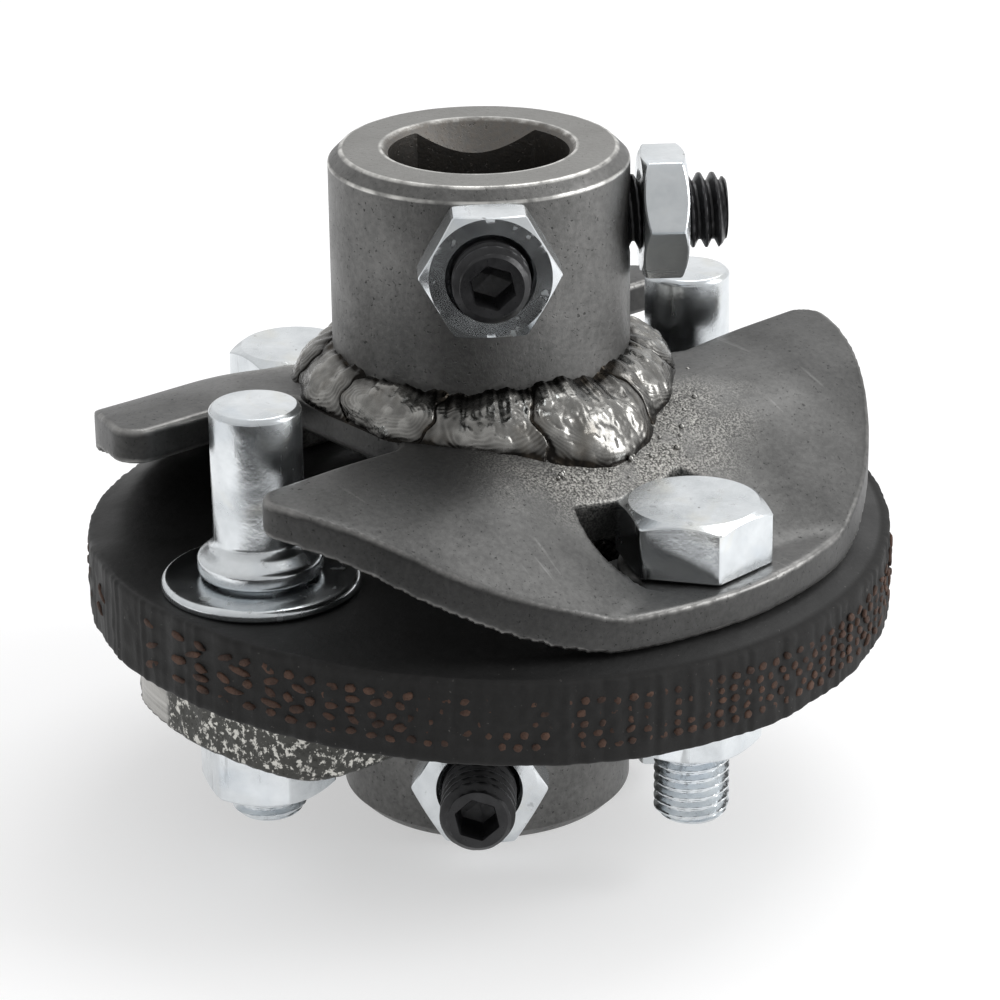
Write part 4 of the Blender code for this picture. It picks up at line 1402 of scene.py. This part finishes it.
# ---------------------------------------------------------------- putting it together


def place(obj, material, body, slot, *nodes):
    obj.data.materials.clear()
    obj.data.materials.append(material)
    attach(obj, body)
    if nodes:
        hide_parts(*nodes)
    return obj


def shift_disc(obj):
    """The disc sits a little off centre, towards the right of the camera."""
    co = vertex_array(obj.data)
    co[:, :2] += np.array(DISC_SHIFT) * MM
    write_vertices(obj.data, co)


def blend_disc(obj):
    """The disc stays with the pins at its pin holes and follows the bolts elsewhere."""
    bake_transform(obj, "pin_washers", "disc", (0, 0, 0), (0, BOLT_Y * MM, 0))
    co = vertex_array(obj.data)
    side = np.abs(np.arctan2(co[:, 1], np.abs(co[:, 0])))
    weight = smoothstep(math.radians(22), math.radians(62), side)
    attribute = obj.data.attributes["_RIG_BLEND"]
    attribute.data.foreach_set("value", weight.astype(np.float32))


def build_pieces():
    steel, flange, cut = hub_material(), flange_material(), cut_edge_material()
    weld, zinc, black = weld_material(), zinc_material(), black_material()
    rubber, cords = rubber_material(), cord_material()
    place(make_upper_hub(), steel, "upper_half", "bare_steel", "upper_hub")
    place(make_lower_hub(), steel, "lower_half", "bare_steel", "lower_hub")
    place(make_upper_flange(), flange, "upper_half", "bare_steel", "upper_flange")
    place(make_lower_flange(), cut, "lower_half", "bare_steel", "lower_flange")
    place(make_upper_weld(), weld, "upper_half", "weld_steel", "upper_weld")
    place(make_lower_weld(), weld, "lower_half", "weld_steel", "lower_weld")
    place(make_spatter(), weld, "upper_half", "weld_steel")
    for label in ("left", "right"):
        place(make_pin(label), zinc, "lower_half", "zinc_plate", "stop_pin_" + label)
        washer = make_ring("pin_washer_ring_" + label, "pin_washer_" + label, 5.15, 0.4)
        place(washer, zinc, "pin_washers", "zinc_plate", "pin_washer_" + label)
        low, high = span("pin_nut_" + label)
        nut = make_nut("pin_nut_hex_" + label, NUT_FLATS, high[2], low[2], 8.0, (False, True))
        nut.location = (math.copysign(PIN_X, low[0]) * MM, 0, 0)
        place(nut, zinc, "lower_half", "zinc_plate", "pin_nut_" + label)
    for label, flats, turn in (("front", 14.29, 4.0), ("back", 12.7, 22.0)):
        bolt = make_bolt(label, flats, turn)
        place(bolt, zinc, "upper_half", "zinc_plate", "clamp_bolt_" + label)
        washer = make_ring("bolt_washer_ring_" + label, "bolt_washer_" + label, 4.2, 0.2)
        place(washer, zinc, "upper_half", "zinc_plate", "bolt_washer_" + label)
        low, high = span("bolt_nut_" + label)
        nut = make_nut("bolt_nut_hex_" + label, NUT_FLATS, high[2], low[2], 10.0, (False, True))
        nut.location = (0, math.copysign(BOLT_Y, low[1]) * MM, 0)
        place(nut, zinc, "upper_half", "zinc_plate", "bolt_nut_" + label)
    for name, screw in SCREWS.items():
        place(make_set_screw(name), black, screw[4] + "_screw", "black_oxide", name)
        nut_name = name.replace("set_screw", "jam_nut")
        place(make_jam_nut(name), zinc, screw[4] + "_nut", "zinc_plate", nut_name)
    for maker, material in ((make_disc, rubber), (make_cord_ends, cords)):
        piece = maker()
        shift_disc(piece)
        piece.data.materials.clear()
        piece.data.materials.append(material)
        blend_disc(piece)
        if maker is make_disc:
            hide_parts("coupling_disc")


def build_stage():
    mesh = bpy.data.meshes.new("floor")
    size, lowest = 3.0, CAD_BOX[0][2] - 0.00005
    corners = [(-size, -size, lowest), (size, -size, lowest), (size, size, lowest), (-size, size, lowest)]
    mesh.from_pydata(corners, [], [(0, 1, 2, 3)])
    floor = link(mesh, "floor")
    floor.data.materials.append(floor_material())
    build_card()


def build_card():
    """A dark card lying in front of the part, seen only in the bright metal."""
    mesh = bpy.data.meshes.new("dark_card")
    low = CAD_BOX[0][2] + 0.0005
    corners = [(-0.30, -0.48, low), (0.16, -0.48, low), (0.16, -0.118, low), (-0.30, -0.118, low)]
    mesh.from_pydata(corners, [], [(0, 1, 2, 3)])
    card = link(mesh, "dark_card")
    card.rotation_euler = (0, 0, math.radians(PHOTO_TURN))
    look = Look("card_felt")
    colour = look.mix(look.noise(40.0), (0.015, 0.015, 0.015), (0.03, 0.03, 0.03))
    card.data.materials.append(look.finish(colour, 1.0, None, 0.0, 0.0))
    card.visible_camera = False
    card.visible_diffuse = False
    card.visible_shadow = False
    card.visible_transmission = False


def photo_direction(azimuth, elevation):
    """Unit vector from the object, with azimuth counted from the photo's right."""
    a, e = math.radians(azimuth + PHOTO_TURN), math.radians(elevation)
    return Vector((math.cos(e) * math.cos(a), math.cos(e) * math.sin(a), math.sin(e)))


def area_light(name, azimuth, elevation, distance, size, power):
    light = bpy.data.lights.new(name, "AREA")
    light.shape = "RECTANGLE"
    light.size, light.size_y = size
    light.energy = power
    lamp = bpy.data.objects.new(name, light)
    bpy.context.scene.collection.objects.link(lamp)
    aim = Vector((0, 0, 0.035))
    spot = aim + photo_direction(azimuth, elevation) * distance
    lamp.location = spot
    lamp.rotation_euler = (aim - spot).to_track_quat("-Z", "Y").to_euler()


def build_world():
    """A pale studio: bright above and to the right, darker low down at the front left."""
    world = bpy.data.worlds.new("studio")
    bpy.context.scene.world = world
    world.use_nodes = True
    sky = Nodes(world.node_tree, "Generated")
    height = sky.split(sky.coords)[2]

    def towards(azimuth):
        aim = {"i0": sky.coords, "i1": photo_direction(azimuth, 0)}
        return sky.node("ShaderNodeVectorMath", {"operation": "DOT_PRODUCT"}, **aim).outputs["Value"]

    low = sky.remap(towards(5), -0.4, 0.95, 0.16, 1.0, True)
    low = sky.plus(low, sky.remap(towards(178), 0.6, 1.0, 0.0, 0.55, True))
    high = sky.remap(towards(80), -1.0, 1.0, 0.55, 0.95)
    rise = sky.remap(height, -0.10, 0.22, 0.0, 1.0, True)
    background = sky.tree.nodes["Background"].inputs
    background["Color"].default_value = (1.0, 1.0, 1.0, 1.0)
    connect(sky.tree, background["Strength"], sky.mix_value(rise, low, high))


def build_camera():
    data = bpy.data.cameras.new("camera")
    data.lens = 133.98
    data.sensor_width = 36.0
    data.clip_end = 20.0
    camera = bpy.data.objects.new("camera", data)
    bpy.context.scene.collection.objects.link(camera)
    turn = Matrix.Rotation(math.radians(PHOTO_TURN), 4, "Z")
    spot = turn @ Matrix.Translation((1.786 * MM, -374.2 * MM, 187.4 * MM))
    tilt = Matrix.Rotation(math.radians(90 - 22.33), 4, "X")
    roll = Matrix.Rotation(math.radians(-0.69), 4, "Z")
    camera.matrix_world = spot @ tilt @ roll
    bpy.context.scene.camera = camera


build_camera()
build_world()
build_stage()
build_pieces()
area_light("key", 60, 58, 0.75, (0.5, 0.5), 1.8)
area_light("right", -5, 25, 0.7, (0.25, 0.5), 2.5)
bpy.context.scene.view_settings.view_transform = "Standard"
